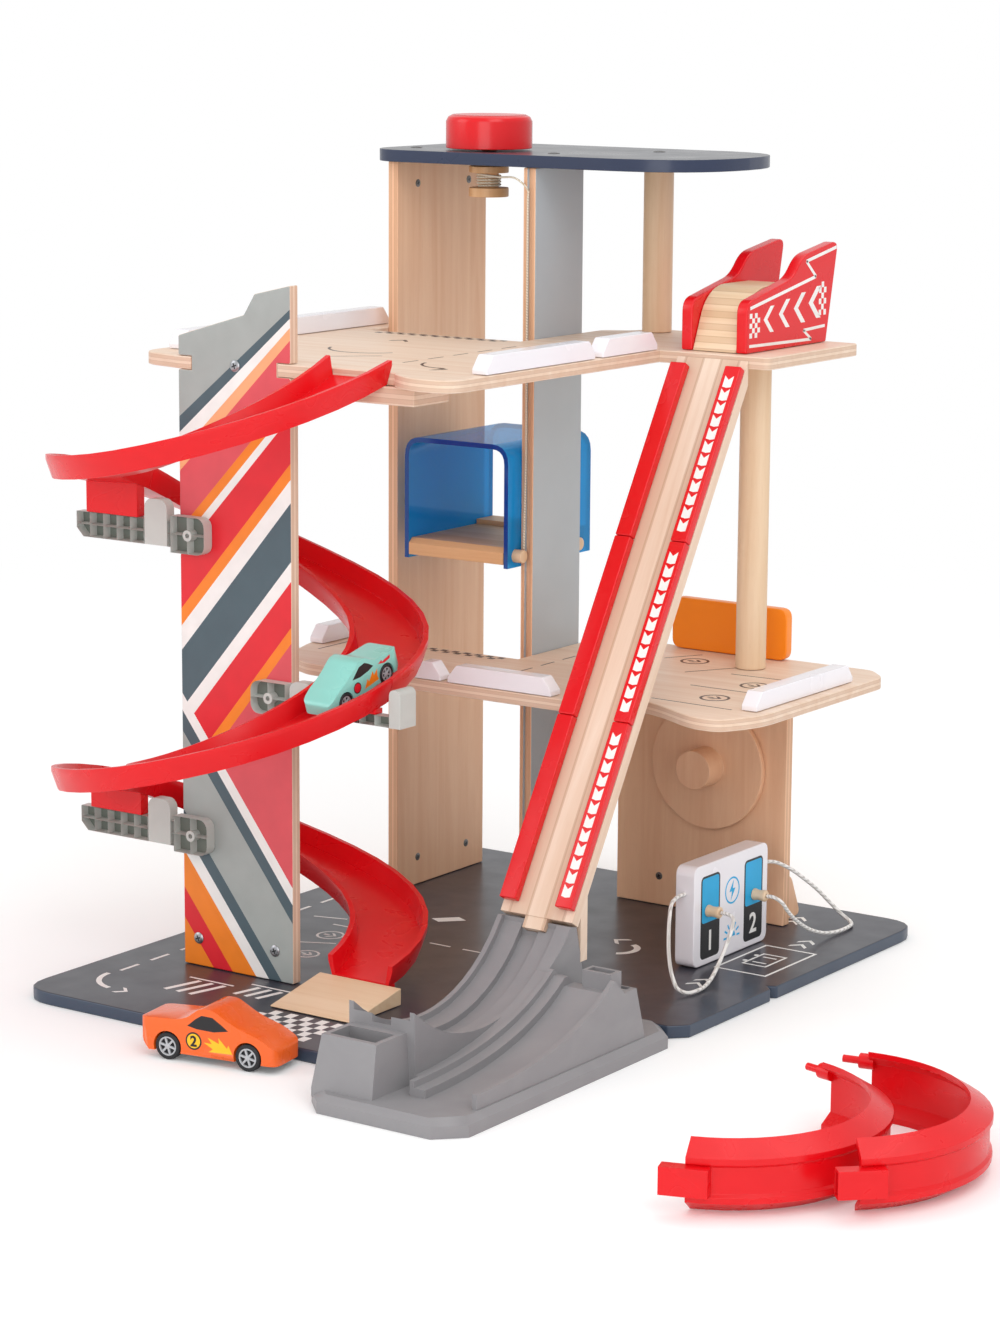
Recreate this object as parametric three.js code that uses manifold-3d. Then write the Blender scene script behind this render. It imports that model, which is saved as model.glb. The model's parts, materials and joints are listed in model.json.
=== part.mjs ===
import * as THREE from 'three';
import Module from 'manifold-3d';
import { mergeVertices } from 'three/addons/utils/BufferGeometryUtils.js';

const wasm = await Module();
wasm.setup();

// Toy parking garage. Millimetres. X runs along the front right edge, Y away from the
// viewer, Z up, and zero is the middle of the base board on the floor.

const fit = 0.3; // gap between two seated pieces
const overrun = 2; // how far a cutter passes its face
const ply = 7.2; // thickness of the plywood panels
const plasticWall = 3;
const screwBore = 4;

const base = { width: 348, depth: 423, thick: 7.5, corner: 22, edgeChamfer: 9 };
base.left = -base.width / 2;
base.right = base.width / 2;
base.front = -base.depth / 2;
base.back = base.depth / 2;
base.fingerY = 39;
base.fingerSize = 5;

const middle = { bottom: 163.8, left: -155, right: 179.6, front: -20, back: 160.5, corner: 5 };
middle.top = middle.bottom + ply;
middle.frontLeft = -116;
middle.bayFront = -17;
middle.bayStart = 107;
middle.baySweep = 42;
middle.cornerCut = 26;

const upper = { bottom: 353.4, left: -163, right: 67.6, front: -131, back: 179, corner: 14 };
upper.top = upper.bottom + ply;
upper.prongFront = -119;
upper.wingFront = 75.3;
upper.wingRight = 140;
upper.wingCorner = 4;
upper.bumpLeft = 21.5;

const roof = { bottom: 461, left: -148, right: 87, front: 78, back: 200, corner: 60 };
roof.top = roof.bottom + ply;

// The lift shaft stands between the west and east panels.
const shaft = { front: 65, left: -127.7, right: -31.7 };
const westPanel = { front: 86.4, back: 179.5 };
const eastPanel = { front: 80.3, back: 131.3, thick: 8.7, grooveWide: 3, grooveDeep: 2 };
eastPanel.right = shaft.right + eastPanel.thick;

// Spiral road: a tower panel inside a channel that falls two turns.
const spiral = { x: -89.6, y: -115.3, inner: 62, outer: 107, wallHeight: 10.5, floorThick: 3 };
spiral.wallLean = 3.5; // how far each wall leans outwards
spiral.lip = 3;
spiral.underDeck = 3.8; // from the deck's top down to the road's floor
spiral.start = upper.top - spiral.underDeck;
spiral.end = 18;
spiral.stepsPerPiece = 18;
spiral.pieces = 4;
const halfTurn = 180;
// Share of the whole fall that is used after each quarter turn.
const fallShares = [0, 0.137, 0.211, 0.397, 0.518, 0.648, 0.743, 0.903, 1];
const tower = { halfWidth: 39.9, shoulder: 372.1, peak: 403.9, slope: 386, ledge: 398 };
tower.front = spiral.y - ply / 2;
tower.back = spiral.y + ply / 2;
tower.notchDeep = 9.5;
tower.ledgeWide = 7.6;
tower.ledgeShare = 0.63; // of the half width, from the right edge

const bracket = { thick: 7.2, lip: 12, barHigh: 14.5, middleHigh: 6 };
bracket.front = tower.front - fit - bracket.thick;
bracket.back = tower.front - fit;
bracket.past = 4.3; // how far a bar passes the road's outer wall
bracket.slant = 5;
bracket.capGap = 6;
bracket.capWide = 7.6;
bracket.capDeep = 14.5;
bracket.capHigh = 15.5;
bracket.lipGap = 1.8; // the road curves towards the lip
bracket.lipCorner = 5.5;
bracket.plateWide = 24.4;
bracket.plateBelow = 3;
bracket.plateAbove = 3.6;
bracket.middleAbove = 9.6;
bracket.upperTop = 267;
bracket.middleTop = 173.2;
bracket.lowerTop = 93;

const ramp = { left: 80, right: 127, topY: 75, topZ: 358, footY: -100, footZ: 68, tab: 7 };
ramp.railWide = 10.5;
ramp.railHigh = 5.5;
ramp.railCount = 3;
ramp.railInset = 6;
ramp.tabLong = 7;
ramp.legLeft = 107;
ramp.legFront = -91;
ramp.legBack = -84.5;

// Launch base: a plate under two road channels, with a nose box and a socket.
const launch = { left: 75, right: 174.5, front: -277, back: -62, thick: 10, corner: 14, bevel: 3.5 };
launch.wall = 3;
launch.ledge = 12; // the raised strip along each side of a road
launch.ledgeDeep = 3.5;
launch.floorDeep = 7;
launch.firstLeft = 79;
launch.firstRight = 121;
launch.flareFrom = -150;
launch.flareTo = -107;
launch.dipY = -176;
launch.dipZ = 26.3;
launch.dipRadius = 91;
launch.lipFront = -236;
launch.lipBack = -101;
launch.rearTop = -95.2;
launch.rearHigh = 64.5;
launch.rearFoot = -80;
launch.shelf = 43.7; // carries the ramp's leg
launch.noseFront = -268.5;
launch.noseLean = 6.5;
launch.noseBack = -234;
launch.noseHigh = 37.5;
launch.noseTaper = 2;
launch.secondLeft = 128;
launch.secondRight = 170;
launch.secondTip = -123;
launch.secondTop = 48;
launch.secondKnee = -165;
launch.secondFront = -250;
launch.secondLow = 18;
launch.secondLedge = 7;
launch.secondBack = -112;
launch.secondBackHigh = 38;
launch.bridgeFront = -244;
launch.bridgeDeep = 2.5;
launch.blockLeft = 146;
launch.blockFront = -116;
launch.blockBack = -92.5;
launch.blockLean = 9;
launch.blockHigh = 39.2;
launch.blockRecess = 6;
launch.recessWall = 1.2;
launch.tubeRight = 164.5;
launch.tubeFront = -118;
launch.tubeBack = -108;
launch.tubeHigh = 49.3;
launch.tubeWall = 2;
launch.tubeFloor = 24;

const wedge = { left: -33, right: 24, front: -161, high: 17.5, tip: 1 };

const lowerWall = { left: -8.4, right: 111.4, front: 154.8 };
const wallFoot = { left: 95, right: 105, reach: 25, high: 28 };
const orangeWall = { left: 31, right: 111, front: 152, thick: 7, high: 31.5, corner: 6 };
const column = { radius: 9, lowerX: 103.4, lowerY: 123.8, upperX: 10, upperY: 163 };
const curb = { high: 10.5, wide: 10, slope: 6, round: 1 };
curb.upperFrontFrom = -98;
curb.upperFrontTo = 8;
curb.upperRearFrom = 16;
curb.upperRearTo = 73;
curb.upperLeftFrom = -94;
curb.upperLeftTo = 104;
curb.middleFrontFrom = -38;
curb.middleFrontTo = -19;
curb.middleCentreFrom = -14;
curb.middleCentreTo = 58;
curb.middleRightFrom = 13;
curb.middleRightTo = 121.5;
curb.middleLeftFrom = 33;
curb.middleLeftTo = 95;

const start = { front: 82.7, back: 186, low: 28.9, mid: 39.7, high: 52.2, peak: 59.2, crest: 133.3 };
start.leftPanel = 77.3;
start.rightPanel = 113.8;
start.crestEnd = 145.4;
start.footEnd = 173.6;
start.humpFront = 83;
start.humpKnee = 94;
start.humpKneeHigh = 27;
start.humpHigh = 36;
start.humpBack = 150;
start.corner = 7;

const cabin = { left: -108, right: -32, front: 67, back: 156, bottom: 224, top: 298, corner: 12 };
cabin.floorLow = 226.2;
cabin.floorThick = 10;
cabin.ledge = 3;
cabin.dowelRadius = 4;
cabin.dowelZ = 231;
cabin.dowelFront = 75.4;
cabin.dowelBack = 136.6;
cabin.dowelEnd = -26;

// The winch under the roof turns about one upright axis.
const winch = { x: -80, y: 114, knobRadius: 26, knobHigh: 20, knobRise: 1.2, shaftRadius: 4.5 };
winch.flangeRadius = 12;
winch.topFlange = 4;
winch.bottomFlange = 5.5;
winch.coreRadius = 6;
winch.windingHigh = 8.8;
winch.hang = 2.2;
winch.turns = 4;
winch.stringRadius = 0.6;
winch.stringBend = 6;
winch.tieIn = 1.5; // how far the string leans in to the front dowel
winch.shaftInKnob = 12;
winch.bore = winch.shaftRadius + fit;
winch.topZ = roof.bottom - winch.hang;
winch.coreTop = winch.topZ - winch.topFlange;
winch.coreBottom = winch.coreTop - winch.windingHigh;
winch.lowZ = winch.coreBottom - winch.bottomFlange;

const charger = { left: 105.2, right: 118, front: 41, back: 124, top: 68, corner: 6 };
charger.plugRadius = 3;
charger.plugDeep = 6;
charger.plugProud = 9;
charger.firstY = 56;
charger.firstZ = 40;
charger.secondY = 108;
charger.secondZ = 39;
charger.cordRadius = 1.15;

const disc = { x: 58, z: 101, radius: 39, thick: 4, knobRadius: 12, knobDeep: 16, boss: 4.5, gap: 0.4 };
disc.front = lowerWall.front - disc.gap - disc.thick;

const loop = { outer: 83, rim: 11.3, wide: 36, wall: 3, span: 149, steps: 24 };
loop.drop = 7; // the side walls flare towards the opening
loop.band = 3;
loop.ridge = 1.5;
loop.aside = 122.2;
loop.apart = 39.5;
loop.firstX = base.right + loop.aside;
loop.firstY = -219.1;
loop.firstTurn = 3.2;
loop.secondX = loop.firstX + loop.apart;
loop.secondY = -190.7;
loop.secondTurn = 26.7;
loop.plugLong = 12;
loop.plugWide = 8;
loop.plugHigh = 14;
loop.plugWall = 1.4;
loop.pinHub = 4;
loop.pinRadius = 2;
loop.pinLong = 9;

const car = { length: 84, width: 28, top: 31, belly: 4.5, wheelRadius: 7.5, wheelBase: 49 };
car.nose = 13;
car.hood = 19;
car.deck = 23.5;
car.tail = 22;
car.tailLow = 11;
// How far from the middle each bend of the roof line lies, as a share of half the length.
car.hoodShare = -0.74;
car.screenShare = -0.4;
car.roofFrontShare = -0.08;
car.roofBackShare = 0.1;
car.deckShare = 0.34;
car.tailShare = 0.86;
car.roundShare = 1 / 28; // of the length, at the roof
car.wheelWide = 5.8;
car.axleRadius = 1.5;
car.archGap = 1;
car.planCorner = 6;
car.innerGap = 0.4;
const orangeCar = { x: -10, away: 21.5, turn: 189.3 };
orangeCar.y = base.front - orangeCar.away;
const mintCar = { travelled: 363, lift: 1.3, pitch: 18, sizeShare: 0.74 };
mintCar.radius = (spiral.inner + spiral.outer) / 2;

const sides = 28; // steps around a turned piece

const colours = {
  baseBoard: 0x3d4859,
  navy: 0x1f2a44,
  wood: 0xe3c7a8,
  red: 0xe31b23,
  white: 0xf1eef4,
  orange: 0xf5821f,
  greyBlue: 0xb9c1c5,
  grey: 0x9a9a9c,
  bracket: 0xc9cbc7,
  cabinBlue: 0x0b6fa4,
  mint: 0x9adbd3,
  slate: 0x5b6573,
  tyre: 0x33363b,
  string: 0xe8dcc4,
};

function finish(colour, roughness, metalness = 0) {
  return new THREE.MeshStandardMaterial({ color: colour, roughness, metalness });
}

const woodFinish = (colour) => finish(colour, 0.6);
const plasticFinish = (colour) => finish(colour, 0.35);
const stringFinish = (colour) => finish(colour, 0.9);

// Outlines: each point is [x, y, corner], where corner is the length cut from both edges.
function outlineShape(points) {
  const shape = new THREE.Shape();
  const count = points.length;
  points.forEach(([x, y, corner = 0], i) => {
    const here = new THREE.Vector2(x, y);
    const before = new THREE.Vector2(...points[(i + count - 1) % count].slice(0, 2)).sub(here);
    const after = new THREE.Vector2(...points[(i + 1) % count].slice(0, 2)).sub(here);
    const cut = Math.min(corner, before.length() / 2, after.length() / 2);
    const from = here.clone().addScaledVector(before.normalize(), cut);
    const to = here.clone().addScaledVector(after.normalize(), cut);
    if (i === 0) shape.moveTo(from.x, from.y);
    else shape.lineTo(from.x, from.y);
    if (cut > 0) shape.quadraticCurveTo(x, y, to.x, to.y);
  });
  shape.closePath();
  return shape;
}

function extruded(points, depth, curveSegments = 5) {
  const options = { depth, bevelEnabled: false, curveSegments };
  return new THREE.ExtrudeGeometry(outlineShape(points), options);
}

// A board lying flat: points are [x, y].
function board(points, bottom, thick, curveSegments) {
  return extruded(points, thick, curveSegments).translate(0, 0, bottom);
}

// A panel that faces along X: points are [y, z].
function sidePanel(points, left, thick, curveSegments) {
  const turn = new THREE.Matrix4().makeBasis(
    new THREE.Vector3(0, 1, 0),
    new THREE.Vector3(0, 0, 1),
    new THREE.Vector3(1, 0, 0),
  );
  return extruded(points, thick, curveSegments).applyMatrix4(turn).translate(left, 0, 0);
}

// A panel that faces along Y: points are [x, z].
function frontPanel(points, front, thick, curveSegments) {
  const turn = new THREE.Matrix4().makeBasis(
    new THREE.Vector3(1, 0, 0),
    new THREE.Vector3(0, 0, 1),
    new THREE.Vector3(0, -1, 0),
  );
  return extruded(points, thick, curveSegments).applyMatrix4(turn).translate(0, front + thick, 0);
}

function rectangle(left, right, low, high, corner = 0) {
  return [
    [left, low, corner],
    [right, low, corner],
    [right, high, corner],
    [left, high, corner],
  ];
}

function block(left, right, front, back, bottom, top) {
  return board(rectangle(left, right, front, back), bottom, top - bottom);
}

// A turned piece about Z: profile points are [radius, height], closed on the axis.
function turned(profile, steps = sides) {
  return new THREE.LatheGeometry(profile.map(([r, z]) => new THREE.Vector2(r, z)), steps)
    .rotateX(Math.PI / 2);
}

function rod(radius, length, steps = sides) {
  return turned([[0, 0], [radius, 0], [radius, length], [0, length]], steps);
}

function solid(geometry) {
  const bare = geometry.clone();
  bare.deleteAttribute('normal');
  bare.deleteAttribute('uv');
  const welded = mergeVertices(bare, 1e-4);
  const mesh = new wasm.Mesh({
    numProp: 3,
    vertProperties: new Float32Array(welded.attributes.position.array),
    triVerts: new Uint32Array(welded.index.array),
  });
  return new wasm.Manifold(mesh);
}

function surface(manifold) {
  const mesh = manifold.getMesh();
  const geometry = new THREE.BufferGeometry();
  geometry.setAttribute('position', new THREE.BufferAttribute(mesh.vertProperties.slice(), 3));
  geometry.setIndex(new THREE.BufferAttribute(mesh.triVerts.slice(), 1));
  geometry.computeVertexNormals();
  return geometry;
}

function cut(body, ...cutters) {
  return surface(cutters.reduce((left, cutter) => left.subtract(solid(cutter)), solid(body)));
}

function joined(body, ...others) {
  return surface(others.reduce((whole, other) => whole.add(solid(other)), solid(body)));
}

// A section [u, v] carried through frames whose u x v points along the sweep.
function swept(section, frames) {
  const contour = section.map(([u, v]) => new THREE.Vector2(u, v));
  const faces = THREE.ShapeUtils.triangulateShape(contour, []);
  const count = contour.length;
  const positions = [];
  const index = [];
  frames.forEach(({ origin, u, v }) => {
    contour.forEach((point) => {
      const spot = origin.clone().addScaledVector(u, point.x).addScaledVector(v, point.y);
      positions.push(spot.x, spot.y, spot.z);
    });
  });
  for (let s = 0; s < frames.length - 1; s += 1) {
    for (let k = 0; k < count; k += 1) {
      const a = s * count + k;
      const b = s * count + ((k + 1) % count);
      index.push(a, b, b + count, a, b + count, a + count);
    }
  }
  const last = (frames.length - 1) * count;
  faces.forEach(([a, b, c]) => {
    index.push(a, c, b, last + a, last + b, last + c);
  });
  const geometry = new THREE.BufferGeometry();
  geometry.setAttribute('position', new THREE.Float32BufferAttribute(positions, 3));
  geometry.setIndex(index);
  geometry.computeVertexNormals();
  return geometry;
}

function tube(points, radius, stepsPerPoint = 3, around = 8) {
  const spots = points.map((p) => new THREE.Vector3(...p));
  const curve = new THREE.CatmullRomCurve3(spots, false, 'centripetal');
  const ring = new THREE.Shape();
  for (let k = 0; k < around; k += 1) {
    const angle = (k / around) * 2 * Math.PI;
    const x = Math.cos(angle) * radius;
    const y = Math.sin(angle) * radius;
    if (k === 0) ring.moveTo(x, y);
    else ring.lineTo(x, y);
  }
  ring.closePath();
  const steps = (points.length - 1) * stepsPerPoint;
  return new THREE.ExtrudeGeometry(ring, { steps, bevelEnabled: false, extrudePath: curve });
}

// Base board with the corner cut away for the launch base.
function baseBoard() {
  const cutLeft = launch.left - fit;
  const cutBack = launch.back + fit;
  const outline = [
    [base.left, base.front, base.corner],
    [cutLeft, base.front, base.edgeChamfer / 2],
    [cutLeft, cutBack],
    [base.right - base.edgeChamfer, cutBack],
    [base.right, cutBack + base.edgeChamfer],
    [base.right, base.fingerY - base.fingerSize],
    [base.right - base.fingerSize, base.fingerY],
    [base.right, base.fingerY + base.fingerSize / 2],
    [base.right, base.back, base.corner],
    [base.left, base.back, base.corner],
  ];
  return board(outline, 0, base.thick);
}

// The decks are open around the lift shaft, at the back.
function middleDeck() {
  const notchLeft = ramp.left - ramp.railWide - fit;
  const notchBack = middle.front + middle.cornerCut;
  const shaftRight = eastPanel.right + fit;
  const shaftLeft = shaft.left - ply - fit;
  const outline = [
    [middle.frontLeft, middle.front, middle.corner],
    [notchLeft, middle.front, middle.corner],
    [notchLeft, notchBack, middle.corner],
    [middle.bayStart, notchBack, middle.cornerCut],
    [middle.bayStart + middle.baySweep, middle.bayFront, middle.cornerCut],
    [middle.right - middle.cornerCut / 2, middle.bayFront, middle.cornerCut / 2],
    [middle.right, middle.bayFront + middle.cornerCut, middle.cornerCut / 2],
    [middle.right, middle.back - ply * 2, middle.corner],
    [middle.right - ply * 2, middle.back, middle.corner],
    [shaftRight, middle.back],
    [shaftRight, shaft.front],
    [shaftLeft, shaft.front],
    [shaftLeft, middle.back],
    [middle.left, middle.back, middle.corner],
    [middle.left, middle.front + middle.cornerCut * 2, middle.corner],
    [middle.left + middle.cornerCut / 2, middle.front + middle.cornerCut / 2, middle.corner],
  ];
  return board(outline, middle.bottom, ply);
}

function upperDeck() {
  const towerLeft = spiral.x - tower.halfWidth;
  const towerRight = spiral.x + tower.halfWidth;
  const slotBack = tower.back + fit;
  const shaftRight = eastPanel.right + fit;
  const shaftLeft = shaft.left - ply - fit;
  const trackFront = spiral.y + fit;
  const outline = [
    [upper.left, upper.prongFront + upper.corner / 2, upper.corner],
    [towerLeft - fit, upper.prongFront, fit],
    [towerLeft + tower.notchDeep - fit, upper.prongFront],
    [towerLeft + tower.notchDeep - fit, slotBack],
    [towerRight - tower.notchDeep + fit, slotBack],
    [towerRight - tower.notchDeep + fit, upper.prongFront],
    [spiral.x + spiral.inner - fit * 2, upper.prongFront],
    [spiral.x + spiral.inner - fit * 2, trackFront],
    [upper.bumpLeft, trackFront],
    [upper.bumpLeft, upper.prongFront],
    [upper.right - upper.corner * 2, upper.front, upper.corner],
    [upper.right, upper.front, upper.corner * 2],
    [upper.right, upper.wingFront],
    [upper.wingRight, upper.wingFront, upper.wingCorner],
    [upper.wingRight, upper.back, upper.wingCorner],
    [column.upperX - column.radius, upper.back, upper.wingCorner],
    [column.upperX - column.radius * 2, upper.back - column.radius * 2, upper.wingCorner],
    [shaftRight, upper.back - column.radius * 3, upper.wingCorner],
    [shaftRight, shaft.front],
    [shaftLeft, shaft.front],
    [shaftLeft, upper.back],
    [upper.left, upper.back, upper.wingCorner],
  ];
  return board(outline, upper.bottom, ply);
}

function roofBoard() {
  const outline = [
    [roof.left, roof.front, roof.corner / 2],
    [roof.right, roof.front, roof.corner],
    [roof.right, roof.back, roof.corner],
    [roof.left, roof.back, roof.corner / 2],
  ];
  const hole = rod(winch.bore, ply + overrun * 2);
  hole.translate(winch.x, winch.y, roof.bottom - overrun);
  return cut(board(outline, roof.bottom, ply, 8), hole);
}

function westLiftPanel() {
  const outline = rectangle(westPanel.front, westPanel.back, base.thick + fit, roof.bottom - fit);
  return sidePanel(outline, shaft.left - ply, ply);
}

function eastLiftPanel() {
  const outline = rectangle(eastPanel.front, eastPanel.back, base.thick + fit, roof.bottom - fit);
  const panel = sidePanel(outline, shaft.right, eastPanel.thick);
  const middleX = shaft.right + eastPanel.thick / 2;
  const groove = block(
    middleX - eastPanel.grooveWide / 2,
    middleX + eastPanel.grooveWide / 2,
    eastPanel.front - overrun,
    eastPanel.front + eastPanel.grooveDeep,
    base.thick,
    roof.bottom,
  );
  return cut(panel, groove);
}

function lowerWallPanel() {
  const low = base.thick + fit;
  const outline = rectangle(lowerWall.left, lowerWall.right, low, middle.bottom - fit);
  const panel = frontPanel(outline, lowerWall.front, ply);
  const foot = sidePanel(
    [
      [lowerWall.front + ply / 2, low],
      [lowerWall.front + ply + wallFoot.reach, low, wallFoot.reach / 4],
      [lowerWall.front + ply + wallFoot.reach / 2, low + wallFoot.high, wallFoot.reach / 4],
      [lowerWall.front + ply / 2, low + wallFoot.high],
    ],
    wallFoot.left,
    wallFoot.right - wallFoot.left,
  );
  const bore = rod(disc.boss + fit, ply + overrun * 2)
    .rotateX(Math.PI / 2)
    .translate(disc.x, lowerWall.front + ply + overrun, disc.z);
  return surface(solid(panel).add(solid(foot)).subtract(solid(bore)));
}

function wallDisc() {
  const profile = [
    [0, 0],
    [disc.knobRadius, 0],
    [disc.knobRadius, disc.knobDeep],
    [disc.radius, disc.knobDeep],
    [disc.radius, disc.knobDeep + disc.thick],
    [disc.boss, disc.knobDeep + disc.thick],
    [disc.boss, disc.knobDeep + disc.thick + disc.gap + ply],
    [0, disc.knobDeep + disc.thick + disc.gap + ply],
  ];
  return turned(profile, sides * 2)
    .rotateX(-Math.PI / 2)
    .translate(disc.x, disc.front - disc.knobDeep, disc.z);
}

function orangeWallPanel() {
  const { left, right, high, corner, front, thick } = orangeWall;
  const outline = rectangle(left, right, middle.top + fit, middle.top + high, corner);
  return frontPanel(outline, front, thick);
}

function post(x, y, bottom, top) {
  return rod(column.radius, top - bottom - fit * 2).translate(x, y, bottom + fit);
}

// A curb lies along X or Y and slopes down at both ends.
function curbProfile(from, to, floor) {
  return [
    [from, floor + fit],
    [to, floor + fit],
    [to, floor + fit + curb.slope / 2],
    [to - curb.slope, floor + fit + curb.high, curb.round],
    [from + curb.slope, floor + fit + curb.high, curb.round],
    [from, floor + fit + curb.slope / 2],
  ];
}

function curbAlongX(from, to, front, floor) {
  return frontPanel(curbProfile(from, to, floor), front, curb.wide, 3);
}

function curbAlongY(from, to, left, floor) {
  return sidePanel(curbProfile(from, to, floor), left, curb.wide, 3);
}

function towerPanel() {
  const left = spiral.x - tower.halfWidth;
  const right = spiral.x + tower.halfWidth;
  const low = upper.bottom - fit;
  const high = upper.top + fit;
  const ledgeX = right - tower.halfWidth * tower.ledgeShare;
  const outline = [
    [left, base.thick + fit],
    [right, base.thick + fit],
    [right, low],
    [right - tower.notchDeep, low],
    [right - tower.notchDeep, high],
    [right, high],
    [right, tower.peak],
    [ledgeX, tower.ledge],
    [ledgeX - tower.ledgeWide, tower.slope],
    [left, tower.shoulder],
    [left, high],
    [left + tower.notchDeep, high],
    [left + tower.notchDeep, low],
    [left, low],
  ];
  return frontPanel(outline, tower.front, ply);
}

// Height of the road's floor after so many degrees of travel.
const quarterTurns = fallShares.map((share, quarter) => (quarter * halfTurn) / 2);
const fallen = new THREE.CubicInterpolant(quarterTurns, fallShares, 1, new Float32Array(1));

function roadHeight(travelled) {
  const share = fallen.evaluate(travelled)[0];
  return spiral.start + (spiral.end - spiral.start) * share;
}

function roadFrame(travelled) {
  const angle = -THREE.MathUtils.degToRad(travelled);
  return {
    origin: new THREE.Vector3(spiral.x, spiral.y, roadHeight(travelled)),
    u: new THREE.Vector3(Math.cos(angle), Math.sin(angle), 0),
    v: new THREE.Vector3(0, 0, 1),
  };
}

// A gutter: low walls that lean outwards, each with an upright lip.
function roadSection() {
  const { inner, outer, floorThick, wallHeight, wallLean, lip } = spiral;
  const slope = wallLean / 2;
  return [
    [inner + wallLean, -floorThick],
    [outer - wallLean, -floorThick],
    [outer, wallHeight - lip],
    [outer, wallHeight],
    [outer - plasticWall, wallHeight],
    [outer - plasticWall - slope, 0],
    [inner + plasticWall + slope, 0],
    [inner + plasticWall, wallHeight],
    [inner, wallHeight],
    [inner, wallHeight - lip],
  ];
}

function roadPiece(piece) {
  const gap = THREE.MathUtils.radToDeg(fit / spiral.inner);
  const from = piece * halfTurn + gap / 2;
  const to = (piece + 1) * halfTurn - gap / 2;
  const frames = [];
  for (let step = 0; step <= spiral.stepsPerPiece; step += 1) {
    frames.push(roadFrame(from + ((to - from) * step) / spiral.stepsPerPiece));
  }
  return swept(roadSection(), frames);
}

// A web under the road, from a bracket's bar or the base up into the floor.
function roadWeb(side, front, back, low, travelled) {
  const inner = spiral.inner + spiral.wallLean;
  const outer = spiral.outer - spiral.wallLean;
  const near = spiral.x + side * inner;
  const far = spiral.x + side * outer;
  const top = roadHeight(travelled) - spiral.floorThick / 2;
  return block(Math.min(near, far), Math.max(near, far), front, back, low, top);
}

function roadWithWebs(piece) {
  const road = roadPiece(piece);
  const front = bracket.front + fit;
  const back = bracket.back - fit;
  const near = bracket.thick; // degrees of travel across a bracket's bar
  if (piece === 0) {
    return joined(road, roadWeb(-1, front, back, bracket.upperTop + fit, halfTurn - near));
  }
  if (piece === 2) {
    const first = roadWeb(1, front, back, bracket.middleTop + fit, halfTurn * 2 + near);
    const second = roadWeb(-1, front, back, bracket.lowerTop + fit, halfTurn * 3 - near);
    return joined(road, first, second);
  }
  if (piece === 3) {
    const low = base.thick + fit;
    return joined(road, roadWeb(1, spiral.y + fit * 2, spiral.y + ply, low, halfTurn * 4));
  }
  return road;
}

// Brackets clip on the tower's front face and carry the road's joints. The middle one
// points to +X and ends in a cap outside the road.
function roadBracket(side, top, barHigh, plateAbove) {
  const low = top - barHigh;
  const capFrom = spiral.outer + bracket.capGap;
  const reach = side > 0 ? capFrom + bracket.capWide : spiral.outer + bracket.past;
  const { front, thick, lipCorner, slant } = bracket;
  const at = (points) => {
    const placed = points.map(([x, z, corner]) => [spiral.x + side * x, z, corner]);
    return frontPanel(side > 0 ? placed : placed.reverse(), front, thick, 3);
  };
  const plateTo = tower.halfWidth + fit * 3;
  const plateFrom = plateTo - bracket.plateWide;
  const plateLow = low - bracket.plateBelow;
  const plateHigh = top + plateAbove;
  const plate = at([
    [plateFrom, plateLow, lipCorner],
    [plateTo, plateLow],
    [plateTo, plateHigh],
    [plateFrom, plateHigh, lipCorner],
  ]);
  const bar = at([
    [tower.halfWidth / 2, low],
    [reach - (side > 0 ? 0 : slant), low],
    [reach, side > 0 ? low : low + slant],
    [reach, top],
    [tower.halfWidth / 2, top],
  ]);
  const lip = at([
    [plateTo + plasticWall, low],
    [spiral.inner - bracket.lipGap, low],
    [spiral.inner - bracket.lipGap, top + bracket.lip, lipCorner],
    [plateTo + plasticWall, top + bracket.lip, lipCorner],
  ]);
  const pieces = [bar, lip];
  if (side > 0) {
    const capCorner = bracket.capWide / 2 - fit;
    pieces.push(frontPanel(
      [
        [spiral.x + capFrom, low],
        [spiral.x + reach, low],
        [spiral.x + reach, top + bracket.capHigh, capCorner],
        [spiral.x + capFrom, top + bracket.capHigh, capCorner],
      ],
      front,
      bracket.capDeep,
      3,
    ));
  }
  const boreX = spiral.x + side * (plateFrom + plateTo) / 2;
  const bore = rod(screwBore / 2, thick + overrun * 2, 12)
    .rotateX(Math.PI / 2)
    .translate(boreX, bracket.back + overrun, (plateLow + plateHigh) / 2);
  return cut(joined(plate, ...pieces), bore);
}

// Wooden block under the upper deck, where the road starts.
function roadBlock() {
  const left = spiral.x + spiral.inner + bracket.lip;
  const right = upper.bumpLeft + bracket.lip;
  const top = upper.bottom - fit;
  return block(left, right, spiral.y - fit * 7, spiral.y + curb.wide * 3, top - curb.wide, top);
}

function exitWedge() {
  const low = base.thick + fit;
  const outline = [
    [wedge.front, low],
    [spiral.y - fit, low],
    [spiral.y - fit, wedge.high],
    [wedge.front, low + wedge.tip],
  ];
  return sidePanel(outline, wedge.left, wedge.right - wedge.left);
}

// Ramp: a straight board from the start bay down to the launch base.
const rampRun = ramp.topY - ramp.footY;
const rampRise = ramp.topZ - ramp.footZ;
const rampLength = Math.hypot(rampRun, rampRise);
const rampAlong = { y: rampRun / rampLength, z: rampRise / rampLength };

function onRamp(distance, height) {
  return [
    ramp.footY + rampAlong.y * distance - rampAlong.z * height,
    ramp.footZ + rampAlong.z * distance + rampAlong.y * height,
  ];
}

// The tongue at the ramp's foot, or with room around it the pocket that it lies in.
function tongueOutline(room) {
  return [
    onRamp(ply, -ply + fit - room),
    onRamp(-ramp.tabLong - room, -ply + fit - room),
    onRamp(-ramp.tabLong - room, -fit * 2 + room * ply),
    onRamp(ply, -fit * 2 + room * ply),
  ];
}

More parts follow.
